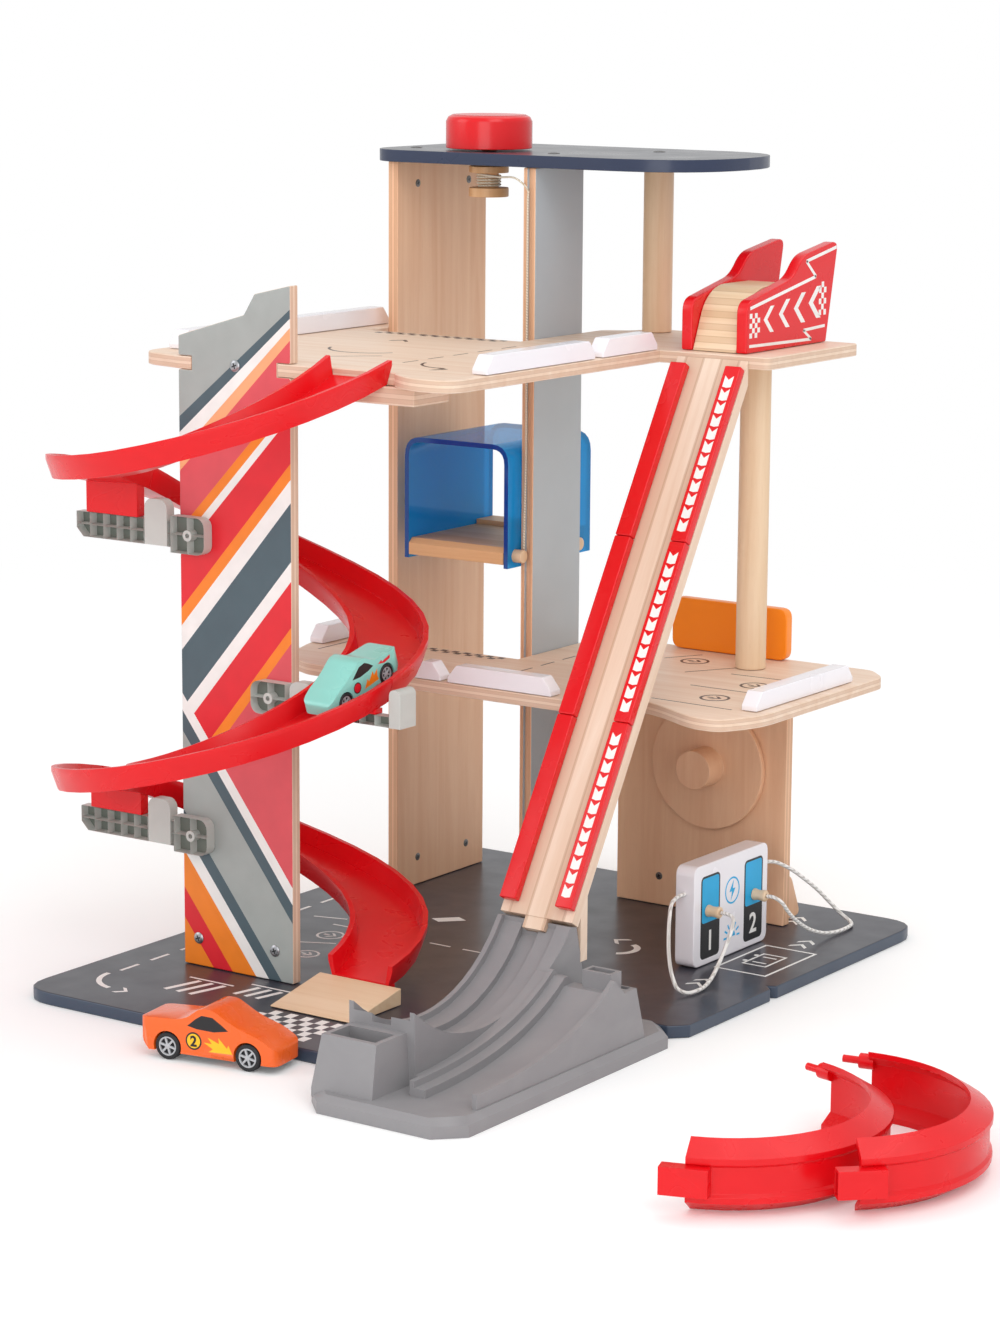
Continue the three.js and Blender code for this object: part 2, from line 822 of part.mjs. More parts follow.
function rampBoard() {
  const lowerEnd = onRamp(0, -ply);
  const upperZ = ramp.topZ - ply / rampAlong.y;
  const outline = [
    [ramp.topY, ramp.topZ],
    [ramp.topY, upperZ],
    lowerEnd,
    onRamp(0, 0),
  ];
  const plank = sidePanel(outline, ramp.left, ramp.right - ramp.left);
  const middleX = (ramp.left + ramp.right) / 2;
  const tab = sidePanel(tongueOutline(0), middleX - ramp.tab, ramp.tab * 2);
  const under = (y) => ramp.footZ + ((y - ramp.footY) * rampAlong.z) / rampAlong.y - ply;
  const leg = sidePanel(
    [
      [ramp.legFront, launch.shelf + fit],
      [ramp.legBack, launch.shelf + fit],
      [ramp.legBack, under(ramp.legBack)],
      [ramp.legFront, under(ramp.legFront)],
    ],
    ramp.legLeft,
    ramp.right - ramp.legLeft,
  );
  return joined(plank, tab, leg);
}

function rampRail(side, piece) {
  const length = rampLength - ramp.railInset * 2;
  const each = length / ramp.railCount;
  const from = ramp.railInset + piece * each + fit / 2;
  const to = ramp.railInset + (piece + 1) * each - fit / 2;
  const left = side < 0 ? ramp.left : ramp.right - ramp.railWide;
  const outline = [
    onRamp(from, fit),
    onRamp(to, fit),
    onRamp(to, fit + ramp.railHigh),
    onRamp(from, fit + ramp.railHigh),
  ];
  return sidePanel(outline, left, ramp.railWide);
}

// A road's line on the launch base, sunk below its walls' top.
function dipArc(sunk, fromY, toY, steps = 16) {
  const radius = launch.dipRadius + sunk;
  const centreZ = launch.dipZ + launch.dipRadius;
  const points = [];
  for (let step = 0; step <= steps; step += 1) {
    const y = fromY + ((toY - fromY) * step) / steps;
    points.push([y, centreZ - Math.sqrt(radius ** 2 - (y - launch.dipY) ** 2)]);
  }
  return points;
}

function secondArc(sunk, steps = 12) {
  const from = new THREE.Vector2(launch.secondTip, launch.secondTop - sunk);
  const knee = new THREE.Vector2(launch.secondKnee, launch.secondLow - sunk);
  const to = new THREE.Vector2(launch.secondFront, launch.secondLow - sunk);
  const curve = new THREE.QuadraticBezierCurve(from, knee, to);
  return curve.getPoints(steps).map((p) => [p.x, p.y]);
}

// Plates and boxes whose upper outline is smaller than their foot.
function tapered(foot, footHigh, crown, bottom, top, corner) {
  const lower = board(rectangle(...foot, corner), bottom, footHigh - bottom, 1);
  const upper = board(rectangle(...crown, corner), footHigh, top - footHigh, 1);
  return solid(lower).add(solid(upper)).hull();
}

function launchPlate() {
  const { left, right, front, back, thick, corner, bevel } = launch;
  const foot = [left, right, front, back];
  const crown = [left + bevel, right - bevel, front + bevel, back - bevel];
  return tapered(foot, thick - bevel, crown, 0, thick, corner)
    .subtract(solid(block(left, right, front, back, thick, thick + overrun)));
}

function firstChannel() {
  const root = launch.thick / 2;
  const { firstLeft, firstRight, wall, ledge, lipFront, lipBack } = launch;
  const side = sidePanel(
    [
      [lipFront, root],
      [launch.rearFoot, root],
      [launch.rearTop, launch.rearHigh],
      ...dipArc(0, lipBack, lipFront),
    ],
    firstLeft,
    ramp.right - firstLeft,
  );
  const plan = board(
    [
      [firstLeft, lipFront],
      [firstRight, lipFront],
      [firstRight, launch.flareFrom],
      [ramp.right, launch.flareTo],
      [ramp.right, launch.rearFoot],
      [firstLeft, launch.rearFoot],
    ],
    0,
    launch.dipRadius,
  );
  const road = (sunk, left, right) => solid(sidePanel(
    [
      ...dipArc(sunk, lipFront - overrun, lipBack + overrun),
      [lipBack + overrun, launch.dipRadius],
      [lipFront - overrun, launch.dipRadius],
    ],
    left,
    right - left,
  ));
  const left = firstLeft + wall;
  const right = firstRight - wall;
  const shelfFront = ramp.legFront - fit;
  const shelf = block(left, ramp.right + fit, shelfFront, launch.back, launch.shelf, launch.dipRadius);
  const middleX = (ramp.left + ramp.right) / 2;
  const pocket = sidePanel(tongueOutline(fit), middleX - ramp.tab - fit, (ramp.tab + fit) * 2);
  return solid(side)
    .intersect(solid(plan))
    .subtract(road(launch.ledgeDeep, left, right))
    .subtract(road(launch.floorDeep, left + ledge, right - ledge))
    .subtract(solid(shelf))
    .subtract(solid(pocket));
}

function noseBox() {
  const { firstLeft, firstRight, noseFront, noseBack, noseLean, noseTaper, wall } = launch;
  const root = launch.thick / 2;
  const foot = [firstLeft, firstRight - wall, noseFront, noseBack];
  const crown = [
    firstLeft + noseTaper,
    firstRight - wall - noseTaper,
    noseFront + noseLean,
    noseBack - noseTaper,
  ];
  const room = block(
    firstLeft + wall + noseTaper,
    firstRight - wall * 2 - noseTaper,
    noseFront + noseLean + wall,
    launch.lipFront - wall * 2,
    launch.thick + wall,
    launch.noseHigh + overrun,
  );
  return tapered(foot, launch.thick, crown, root, launch.noseHigh, 0).subtract(solid(room));
}

function secondChannel() {
  const root = launch.thick / 2;
  const { secondLeft, secondRight, secondFront, secondBack, wall, thick } = launch;
  const side = sidePanel(
    [[secondFront, root], [secondBack, root], [secondBack, launch.secondBackHigh], ...secondArc(0)],
    secondLeft,
    secondRight - secondLeft,
  );
  const road = (sunk, left, right) => solid(sidePanel(
    [
      [secondFront - overrun, Math.max(launch.secondLow - sunk, thick)],
      ...secondArc(sunk).reverse(),
      [secondBack + overrun, launch.secondTop - sunk],
      [secondBack + overrun, launch.dipRadius],
      [secondFront - overrun, launch.dipRadius],
    ],
    left,
    right - left,
  ));
  const left = secondLeft + wall;
  const right = secondRight - wall;
  return solid(side)
    .subtract(road(launch.ledgeDeep, left, right))
    .subtract(road(launch.secondLow - thick, left + launch.secondLedge, right));
}

// A thin bridge joins the two channels and leaves a hollow below it.
function channelBridge() {
  const above = secondArc(launch.bridgeDeep).filter(([y]) => y > launch.bridgeFront);
  const below = secondArc(launch.bridgeDeep * 2).filter(([y]) => y > launch.bridgeFront).reverse();
  const left = launch.firstRight - launch.wall / 2;
  return solid(sidePanel([...above, ...below].reverse(), left, launch.secondLeft + launch.wall / 2 - left));
}

function launchSocket() {
  const root = launch.thick / 2;
  const { blockLeft, blockFront, blockBack, blockLean, blockHigh, secondRight, wall, tubeWall } = launch;
  const foot = [blockLeft, secondRight, blockFront, blockBack];
  const crown = [blockLeft, secondRight, blockFront, blockBack - blockLean];
  const recess = block(
    blockLeft + wall,
    secondRight - wall,
    launch.tubeBack + launch.recessWall,
    blockBack - blockLean - launch.recessWall,
    blockHigh - launch.blockRecess,
    blockHigh + overrun,
  );
  const tube = block(blockLeft, launch.tubeRight, launch.tubeFront, launch.tubeBack, root, launch.tubeHigh);
  const bore = block(
    blockLeft + tubeWall,
    launch.tubeRight - tubeWall,
    launch.tubeFront + tubeWall,
    launch.tubeBack - tubeWall,
    launch.tubeFloor,
    launch.tubeHigh + overrun,
  );
  return {
    body: tapered(foot, launch.thick, crown, root, blockHigh, 0).subtract(solid(recess)).add(solid(tube)),
    bore: solid(bore),
  };
}

function launchBase() {
  const socket = launchSocket();
  return surface(
    launchPlate()
      .add(firstChannel())
      .add(noseBox())
      .add(secondChannel())
      .add(channelBridge())
      .add(socket.body)
      .subtract(socket.bore),
  );
}

// Start bay: two side boards with a wooden hump between them.
function startPanel(left) {
  const low = upper.top + fit;
  const outline = [
    [start.front, low],
    [start.footEnd, low],
    [start.back, low + start.peak - fit, start.corner],
    [start.crestEnd, low + start.high, start.corner],
    [start.crest, low + start.mid, start.corner],
    [start.front, low + start.low, start.corner],
  ];
  return sidePanel(outline, left, ply);
}

function startHump() {
  const low = upper.top + fit;
  const outline = [
    [start.humpFront, low],
    [start.humpBack, low],
    [start.humpBack, low + start.humpHigh, start.corner],
    [start.humpKnee + start.corner * 2, low + start.humpHigh, start.corner * 2],
    [start.humpKnee, low + start.humpKneeHigh, start.corner * 2],
  ];
  const left = start.leftPanel + ply + fit;
  return sidePanel(outline, left, start.rightPanel - fit - left);
}

// Cabin: a blue hood on a wooden floor, guided by two dowels that straddle the east panel.
function cabinShell() {
  const { left, right, bottom, top, corner } = cabin;
  const wall = plasticWall;
  const outline = [
    [left, bottom],
    [left + wall, bottom],
    [left + wall, top - wall, corner - wall],
    [right - wall, top - wall, corner - wall],
    [right - wall, bottom],
    [right, bottom],
    [right, top, corner],
    [left, top, corner],
  ];
  const hood = frontPanel(outline, cabin.front, cabin.back - cabin.front);
  const bores = dowelBores();
  return cut(hood, ...bores);
}

function dowelRod(radius, y, extra = 0) {
  const length = cabin.dowelEnd - cabin.left + extra * 2;
  return rod(radius, length, 16).rotateY(Math.PI / 2).translate(cabin.left - extra, y, cabin.dowelZ);
}

function dowelBores() {
  const radius = cabin.dowelRadius + fit;
  return [cabin.dowelFront, cabin.dowelBack].map((y) => dowelRod(radius, y, overrun));
}

function cabinFloor() {
  const left = cabin.left + plasticWall + fit;
  const right = cabin.right - plasticWall - fit;
  const low = cabin.floorLow;
  const high = low + cabin.floorThick;
  const outline = [
    [cabin.front - fit, low],
    [cabin.back, low],
    [cabin.back, high + cabin.ledge],
    [cabin.back - cabin.ledge * 6, high + cabin.ledge],
    [cabin.back - cabin.ledge * 6, high],
    [cabin.front + cabin.ledge, high],
    [cabin.front - fit, high - cabin.ledge],
  ];
  const slab = sidePanel(outline, left, right - left);
  const bores = dowelBores();
  return cut(slab, ...bores);
}

function liftKnob() {
  const low = roof.top + winch.knobRise;
  const high = low + winch.knobHigh;
  const edge = winch.knobHigh / 5;
  const { bore } = winch;
  const profile = [
    [bore, low],
    [winch.knobRadius, low],
    [winch.knobRadius, high - edge],
    [winch.knobRadius - edge / 3, high - edge / 3],
    [winch.knobRadius - edge, high],
    [0, high],
    [0, low + winch.shaftInKnob],
    [bore, low + winch.shaftInKnob],
    [bore, low],
  ];
  return turned(profile, sides * 2).translate(winch.x, winch.y, 0);
}

function liftSpool() {
  const profile = [
    [0, winch.lowZ],
    [winch.flangeRadius, winch.lowZ],
    [winch.flangeRadius, winch.coreBottom],
    [winch.coreRadius, winch.coreBottom],
    [winch.coreRadius, winch.coreTop],
    [winch.flangeRadius, winch.coreTop],
    [winch.flangeRadius, winch.topZ],
    [winch.shaftRadius, winch.topZ],
    [winch.shaftRadius, roof.top + winch.knobRise + winch.shaftInKnob - fit],
    [0, roof.top + winch.knobRise + winch.shaftInKnob - fit],
  ];
  return turned(profile).translate(winch.x, winch.y, 0);
}

// String: a winding on the core, and a run past the east panel down to the cabin.
const windingRadius = winch.coreRadius + winch.stringRadius + fit;
const stringX = shaft.right + eastPanel.thick / 2;
const stringY = eastPanel.front - winch.stringRadius * 3;
const cornerX = shaft.right - winch.stringBend / 2;
const stepsPerTurn = 24;

// The string leaves the winding where its tangent points at the panel's corner.
const toCorner = new THREE.Vector2(cornerX - winch.x, stringY - winch.y);
const leaveAngle = toCorner.angle() - Math.acos(windingRadius / toCorner.length());
const leaving = new THREE.Vector3(-Math.sin(leaveAngle), Math.cos(leaveAngle), 0);

function windingPoints() {
  const count = winch.turns * stepsPerTurn;
  const room = winch.windingHigh - fit * 2 - winch.stringRadius * 2;
  const low = winch.coreBottom + fit + winch.stringRadius;
  const points = [];
  for (let step = 0; step <= count; step += 1) {
    const angle = leaveAngle + ((step - count) / stepsPerTurn) * 2 * Math.PI;
    const out = new THREE.Vector3(Math.cos(angle), Math.sin(angle), 0);
    const centre = new THREE.Vector3(winch.x, winch.y, low + (room * step) / count);
    points.push(centre.addScaledVector(out, windingRadius));
  }
  return points;
}

// The winding's turns, then one string diameter straight along the tangent.
function stringWinding(points) {
  const around = 6;
  const section = [];
  for (let k = 0; k < around; k += 1) {
    const angle = (k / around) * 2 * Math.PI;
    section.push([Math.cos(angle) * winch.stringRadius, Math.sin(angle) * winch.stringRadius]);
  }
  const up = new THREE.Vector3(0, 0, 1);
  const frames = points.map((origin) => ({
    origin,
    u: new THREE.Vector3(winch.x - origin.x, winch.y - origin.y, 0).normalize(),
    v: up,
  }));
  const last = frames[frames.length - 1];
  const end = last.origin.clone().addScaledVector(leaving, winch.stringRadius * 2);
  frames.push({ origin: end, u: last.u, v: up });
  return swept(section, frames);
}

// Least gap between the string's turns, measured between points half a turn or more apart.
function leastTurnGap(points) {
  let least = Infinity;
  points.forEach((here, i) => {
    points.slice(i + stepsPerTurn / 2).forEach((there) => {
      least = Math.min(least, here.distanceTo(there));
    });
  });
  return least - winch.stringRadius * 2;
}

function liftString(points) {
  const last = points[points.length - 1];
  const from = last.clone().addScaledVector(leaving, winch.stringRadius * 2 + fit);
  const low = cabin.dowelZ + cabin.dowelRadius + fit;
  const corner = new THREE.Vector3(cornerX, stringY, from.z);
  const drop = from.z - winch.stringBend - low;
  const hung = [0, 1 / 40, 1 / 4, 1 / 2, 3 / 4].map((share) => [
    stringX,
    stringY,
    from.z - winch.stringBend - drop * share,
  ]);
  const tied = [stringX, stringY - winch.tieIn, low];
  return tube([from, from.clone().lerp(corner, 1 / 2), corner, ...hung, tied], winch.stringRadius);
}

// Charging post with two plugs on cords.
function chargerBox() {
  const outline = rectangle(charger.front, charger.back, base.thick + fit, charger.top, charger.corner);
  const box = sidePanel(outline, charger.left, charger.right - charger.left);
  const bores = [
    [charger.firstY, charger.firstZ],
    [charger.secondY, charger.secondZ],
  ].map(([y, z]) =>
    rod(charger.plugRadius + fit, charger.plugDeep + fit + overrun, 20)
      .rotateY(Math.PI / 2)
      .translate(charger.right - charger.plugDeep - fit, y, z));
  return cut(box, ...bores);
}

function chargerPlug(y, z) {
  const grip = charger.plugRadius + fit;
  const profile = [
    [0, 0],
    [charger.plugRadius, 0],
    [charger.plugRadius, charger.plugDeep + fit],
    [grip + fit, charger.plugDeep + fit],
    [grip + fit, charger.plugDeep + charger.plugProud],
    [0, charger.plugDeep + charger.plugProud],
  ];
  return turned(profile, 20).rotateY(Math.PI / 2).translate(charger.right - charger.plugDeep, y, z);
}

const firstCordRoute = [
  [111.6, 40.7, 52], [111.6, 34, 52], [113, 25, 50.5], [117, 16, 44.5], [121.5, 8, 35],
  [126.5, 1, 25], [132, -4, 16.5], [137.5, -7, 11], [142.5, -5.5, 9.2], [144.8, 2, 9.1],
  [144, 12, 9.4], [142, 23, 12], [139.8, 34, 17.5], [138.2, 44, 25], [137.5, 51, 33],
  [135.6, 55.2, 38.4], [131.6, 56, 40], [127.3, 56, 40],
];

const secondCordRoute = [
  [111.6, 124.3, 52.7], [111.6, 131, 52.7], [113, 140, 51.3], [116.5, 150, 46.5], [121, 160, 39],
  [126, 170, 30], [131, 178, 20.5], [136, 183.5, 13], [141, 184.5, 9.4], [145, 179, 9.1],
  [146.5, 169, 9.1], [146, 158, 9.3], [144, 146, 11], [141.5, 134, 15.5], [139.3, 123, 22.5],
  [138, 114.5, 30], [136.2, 109.4, 36.6], [131.8, 108, 39], [127.3, 108, 39],
];

// Loop halves lie on the floor beside the garage. Each has a hollow plug at one end and
// a pin at the other.
function loopSection() {
  const { outer, rim, wide, wall, drop, band, ridge } = loop;
  const inner = outer - rim;
  const floor = outer - wall - ridge;
  return [
    [inner, 0],
    [outer, drop],
    [outer, drop + band],
    [outer - ridge, drop + band + ridge],
    [outer - ridge, wide - drop - band - ridge],
    [outer, wide - drop - band],
    [outer, wide - drop],
    [inner, wide],
    [inner, wide - wall],
    [floor, wide - drop - band + ridge],
    [floor, drop + band - ridge],
    [inner, wall],
  ];
}

function loopPlug(half) {
  const { outer, wide, ridge, plugLong, plugWide, plugHigh, plugWall } = loop;
  const near = outer - ridge * 2;
  const far = near + plugWide;
  const low = (wide - plugHigh) / 2;
  const high = low + plugHigh;
  const plug = block(near, far, -plugLong, plugLong, low, high);
  const room = block(
    near + plugWall,
    far - plugWall,
    -plugLong - overrun,
    -plugWall,
    low + plugWall,
    high - plugWall,
  );
  return cut(plug, room).rotateZ(-half);
}

function loopPin(half) {
  const { outer, rim, wide, drop, pinHub, pinRadius, pinLong } = loop;
  const place = (part) => part
    .rotateX(-Math.PI / 2)
    .translate(outer - rim / 2, -pinHub / 2, wide - drop)
    .rotateZ(half);
  return [place(rod(pinHub, pinHub * 2, 16)), place(rod(pinRadius, pinHub * 2 + pinLong, 12))];
}

function loopHalf(x, y, turnDegrees) {
  const half = THREE.MathUtils.degToRad(loop.span / 2);
  const frames = [];
  for (let step = 0; step <= loop.steps; step += 1) {
    const angle = half - (step / loop.steps) * half * 2;
    frames.push({
      origin: new THREE.Vector3(0, 0, 0),
      u: new THREE.Vector3(Math.cos(angle), Math.sin(angle), 0),
      v: new THREE.Vector3(0, 0, 1),
    });
  }
  return joined(swept(loopSection(), frames), loopPlug(half), ...loopPin(half))
    .rotateZ(THREE.MathUtils.degToRad(turnDegrees))
    .translate(x, y, 0);
}

// Cars: local nose towards -X, wheels standing on z = 0.
function carAxles() {
  return [-car.wheelBase / 2, car.wheelBase / 2];
}

function carBody() {
  const half = car.length / 2;
  const wide = car.width;
  const round = car.length * car.roundShare;
  const side = [
    [-half, car.belly],
    [half * car.tailShare, car.belly],
    [half, car.tailLow],
    [half, car.tail, round / 2],
    [half * car.deckShare, car.deck, round * 2],
    [half * car.roofBackShare, car.top, round],
    [half * car.roofFrontShare, car.top, round],
    [half * car.screenShare, car.deck, round * 2],
    [half * car.hoodShare, car.hood, round],
    [-half, car.nose, round],
  ];
  const hull = solid(frontPanel(side, -wide / 2, wide));
  const plan = board(rectangle(-half, half, -wide / 2, wide / 2, car.planCorner), 0, car.top + overrun);
  const archDeep = car.wheelWide + car.innerGap;
  let body = hull.intersect(solid(plan));
  carAxles().forEach((x) => {
    const hole = rod(car.axleRadius + fit, wide + overrun * 2, 16)
      .rotateX(Math.PI / 2)
      .translate(x, wide / 2 + overrun, car.wheelRadius);
    body = body.subtract(solid(hole));
    [-1, 1].forEach((end) => {
      const arch = rod(car.wheelRadius + car.archGap, archDeep + overrun, 24).rotateX(Math.PI / 2);
      const faceY = end > 0 ? wide / 2 + overrun : -wide / 2 + archDeep;
      arch.translate(x, faceY, car.wheelRadius);
      body = body.subtract(solid(arch));
    });
  });
  return surface(body);
}

function wheelSet(x) {
  const half = car.width / 2 + fit;
  const inner = half - car.wheelWide;
  const profile = [
    [0, -half],
    [car.wheelRadius, -half],
    [car.wheelRadius, -inner],
    [car.axleRadius, -inner],
    [car.axleRadius, inner],
    [car.wheelRadius, inner],
    [car.wheelRadius, half],
    [0, half],
  ];
  return turned(profile, 24).rotateX(Math.PI / 2).translate(x, 0, car.wheelRadius);
}

function orangeCarPlace() {
  return new THREE.Matrix4()
    .makeTranslation(orangeCar.x, orangeCar.y, 0)
    .multiply(new THREE.Matrix4().makeRotationZ(THREE.MathUtils.degToRad(orangeCar.turn)));
}

// The mint car heads down the spiral road.
function mintCarPlace() {
  const angle = -THREE.MathUtils.degToRad(mintCar.travelled);
  const x = spiral.x + Math.cos(angle) * mintCar.radius;
  const y = spiral.y + Math.sin(angle) * mintCar.radius;
  const z = roadHeight(mintCar.travelled) + mintCar.lift;
  const heading = angle + Math.PI / 2;
  return new THREE.Matrix4()
    .makeTranslation(x, y, z)
    .multiply(new THREE.Matrix4().makeRotationZ(heading))
    .multiply(new THREE.Matrix4().makeRotationY(-THREE.MathUtils.degToRad(mintCar.pitch)))
    .multiply(new THREE.Matrix4().makeScale(mintCar.sizeShare, mintCar.sizeShare, mintCar.sizeShare));
}

const group = new THREE.Group();
group.name = 'toy_parking_garage';

function add(name, geometry, material) {
  const mesh = new THREE.Mesh(geometry, material);
  mesh.name = name;
  group.add(mesh);
}

const wood = woodFinish(colours.wood);
const navy = woodFinish(colours.navy);
const white = woodFinish(colours.white);
const redPaint = woodFinish(colours.red);
const red = plasticFinish(colours.red);
const lightGrey = plasticFinish(colours.bracket);
const string = stringFinish(colours.string);

add('base_board', baseBoard(), woodFinish(colours.baseBoard));
add('middle_deck', middleDeck(), wood);
add('upper_deck', upperDeck(), wood);
add('roof_board', roofBoard(), navy);
add('west_lift_panel', westLiftPanel(), wood);
add('east_lift_panel', eastLiftPanel(), woodFinish(colours.greyBlue));
add('lower_wall_panel', lowerWallPanel(), wood);
add('lower_column', post(column.lowerX, column.lowerY, middle.top, upper.bottom), wood);
add('upper_column', post(column.upperX, column.upperY, upper.top, roof.bottom), wood);
add('orange_wall', orangeWallPanel(), woodFinish(colours.orange));

const rightCurbX = upper.right - curb.wide;
const leftCurbX = upper.left + curb.slope;
const deckCurbX = middle.right - curb.slope - curb.wide;
const frontCurbY = middle.front + fit;
[
  ['upper_curb_front', curbAlongY(curb.upperFrontFrom, curb.upperFrontTo, rightCurbX, upper.top)],
  ['upper_curb_rear', curbAlongY(curb.upperRearFrom, curb.upperRearTo, rightCurbX, upper.top)],
  ['upper_curb_left', curbAlongY(curb.upperLeftFrom, curb.upperLeftTo, leftCurbX, upper.top)],
  ['middle_curb_front', curbAlongX(curb.middleFrontFrom, curb.middleFrontTo, frontCurbY, middle.top)],
  ['middle_curb_centre', curbAlongX(curb.middleCentreFrom, curb.middleCentreTo, frontCurbY, middle.top)],
  ['middle_curb_right', curbAlongY(curb.middleRightFrom, curb.middleRightTo, deckCurbX, middle.top)],
  ['middle_curb_left', curbAlongY(curb.middleLeftFrom, curb.middleLeftTo, middle.left + fit, middle.top)],
].forEach(([name, shape]) => add(name, shape, white));

add('tower_panel', towerPanel(), woodFinish(colours.slate));
['first', 'second', 'third', 'fourth'].forEach((word, piece) => {
  add(`spiral_road_${word}`, roadWithWebs(piece), red);
});
const { barHigh, plateAbove, middleHigh, middleAbove } = bracket;
add('road_bracket_upper', roadBracket(-1, bracket.upperTop, barHigh, plateAbove), lightGrey);
add('road_bracket_middle', roadBracket(1, bracket.middleTop, middleHigh, middleAbove), lightGrey);
add('road_bracket_lower', roadBracket(-1, bracket.lowerTop, barHigh, plateAbove), lightGrey);
add('road_block', roadBlock(), wood);
add('exit_wedge', exitWedge(), wood);

add('ramp_board', rampBoard(), wood);
['left', 'right'].forEach((word, k) => {
  for (let piece = 0; piece < ramp.railCount; piece += 1) {
    add(`ramp_rail_${word}_${piece + 1}`, rampRail(k * 2 - 1, piece), red);
  }
});
add('launch_base', launchBase(), plasticFinish(colours.grey));
add('start_panel_left', startPanel(start.leftPanel), redPaint);
add('start_panel_right', startPanel(start.rightPanel), redPaint);
add('start_hump', startHump(), wood);

add('cabin_shell', cabinShell(), plasticFinish(colours.cabinBlue));
add('cabin_floor', cabinFloor(), wood);
add('cabin_dowel_front', dowelRod(cabin.dowelRadius, cabin.dowelFront), wood);
add('cabin_dowel_rear', dowelRod(cabin.dowelRadius, cabin.dowelBack), wood);
add('lift_knob', liftKnob(), redPaint);
add('lift_spool', liftSpool(), wood);

const wound = windingPoints();
console.log(`least gap between the string's turns: ${leastTurnGap(wound).toFixed(2)} mm`);
add('string_winding', stringWinding(wound), string);
add('lift_string', liftString(wound), string);

add('charger_box', chargerBox(), white);
add('charger_plug_front', chargerPlug(charger.firstY, charger.firstZ), wood);
add('charger_plug_rear', chargerPlug(charger.secondY, charger.secondZ), wood);
add('charger_cord_front', tube(firstCordRoute, charger.cordRadius), stringFinish(colours.white));
add('charger_cord_rear', tube(secondCordRoute, charger.cordRadius), stringFinish(colours.white));
add('wall_disc', wallDisc(), wood);

add('loop_half_left', loopHalf(loop.firstX, loop.firstY, loop.firstTurn), red);
add('loop_half_right', loopHalf(loop.secondX, loop.secondY, loop.secondTurn), red);

[
  ['orange_car', orangeCarPlace(), colours.orange],
  ['mint_car', mintCarPlace(), colours.mint],
].forEach(([name, place, colour]) => {
  const [frontX, rearX] = carAxles();
  add(`${name}_body`, carBody().applyMatrix4(place), woodFinish(colour));
  add(`${name}_front_wheels`, wheelSet(frontX).applyMatrix4(place), plasticFinish(colours.tyre));
  add(`${name}_rear_wheels`, wheelSet(rearX).applyMatrix4(place), plasticFinish(colours.tyre));
});

export default group;
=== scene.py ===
import json
from math import acos, atan2, cos, pi, radians, sin

import bmesh
import bpy
from mathutils import Matrix, Vector


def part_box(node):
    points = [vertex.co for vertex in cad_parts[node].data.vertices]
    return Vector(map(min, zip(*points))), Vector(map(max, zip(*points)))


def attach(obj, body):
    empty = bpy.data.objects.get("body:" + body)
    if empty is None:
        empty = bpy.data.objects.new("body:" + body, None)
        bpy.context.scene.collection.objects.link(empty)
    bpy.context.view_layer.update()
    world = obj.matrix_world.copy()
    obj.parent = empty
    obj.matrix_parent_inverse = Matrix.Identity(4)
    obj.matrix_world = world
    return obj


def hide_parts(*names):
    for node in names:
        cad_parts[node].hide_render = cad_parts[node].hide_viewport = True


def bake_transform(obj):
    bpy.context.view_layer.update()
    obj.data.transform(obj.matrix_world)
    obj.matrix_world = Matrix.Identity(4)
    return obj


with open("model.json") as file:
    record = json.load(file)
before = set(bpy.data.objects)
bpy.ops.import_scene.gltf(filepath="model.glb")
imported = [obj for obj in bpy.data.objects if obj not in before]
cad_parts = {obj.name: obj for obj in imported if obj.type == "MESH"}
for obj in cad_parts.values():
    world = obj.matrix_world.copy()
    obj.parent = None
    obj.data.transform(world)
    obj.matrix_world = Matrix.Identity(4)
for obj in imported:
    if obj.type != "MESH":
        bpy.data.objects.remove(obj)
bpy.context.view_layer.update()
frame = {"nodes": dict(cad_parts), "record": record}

# Toy parking garage: plywood boards, moulded road pieces, a winch lift, charging cords and cars.

mm = 0.001
record = frame["record"]
bodyOf = {node: body for body, nodes in record["behaviour"]["bodies"].items() for node in nodes}
jointOf = {joint["name"]: joint for joint in record["behaviour"]["joints"]}


def addObject(name, data):
    made = bpy.data.objects.new(name, data)
    bpy.context.collection.objects.link(made)
    return made


def edges(node):
    # lowest and highest corner of a node, in mm
    low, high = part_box(node)
    return Vector(low) / mm, Vector(high) / mm


# Camera

cameraSet = {
    "azimuth": 34.717,  # degrees, 0 looks along +Y
    "down": 10.983,
    "roll": 0.366,
    "place": (1157.6, -1657.2, 571.5),  # mm
    "lens": 96.24,
    "sensor": 36,
}


def setCamera(s):
    azimuth, down, roll = radians(s["azimuth"]), radians(s["down"]), radians(s["roll"])
    ahead = Vector((-sin(azimuth) * cos(down), cos(azimuth) * cos(down), -sin(down)))
    level = Vector((cos(azimuth), sin(azimuth), 0))
    up = level.cross(ahead)
    right = level * cos(roll) + up * sin(roll)
    above = up * cos(roll) - level * sin(roll)
    data = bpy.data.cameras.new("photoCamera")
    data.lens = s["lens"]
    data.sensor_width = s["sensor"]
    data.clip_end = 30
    camera = addObject("photoCamera", data)
    turn = Matrix((right, above, -ahead)).transposed().to_4x4()
    camera.matrix_world = Matrix.Translation(Vector(s["place"]) * mm) @ turn
    bpy.context.scene.camera = camera


setCamera(cameraSet)
print("camera is set")


# Material tools


def paint(value):
    # sRGB hex to linear
    parts = [int(value[k:k + 2], 16) / 255 for k in (0, 2, 4)]
    linear = [c / 12.92 if c <= 0.04045 else ((c + 0.055) / 1.055) ** 2.4 for c in parts]
    return (*linear, 1.0)


def setInputs(tree, node, inputs):
    for name, value in inputs.items():
        if isinstance(value, bpy.types.NodeSocket):
            tree.links.new(value, node.inputs[name])
        else:
            node.inputs[name].default_value = value


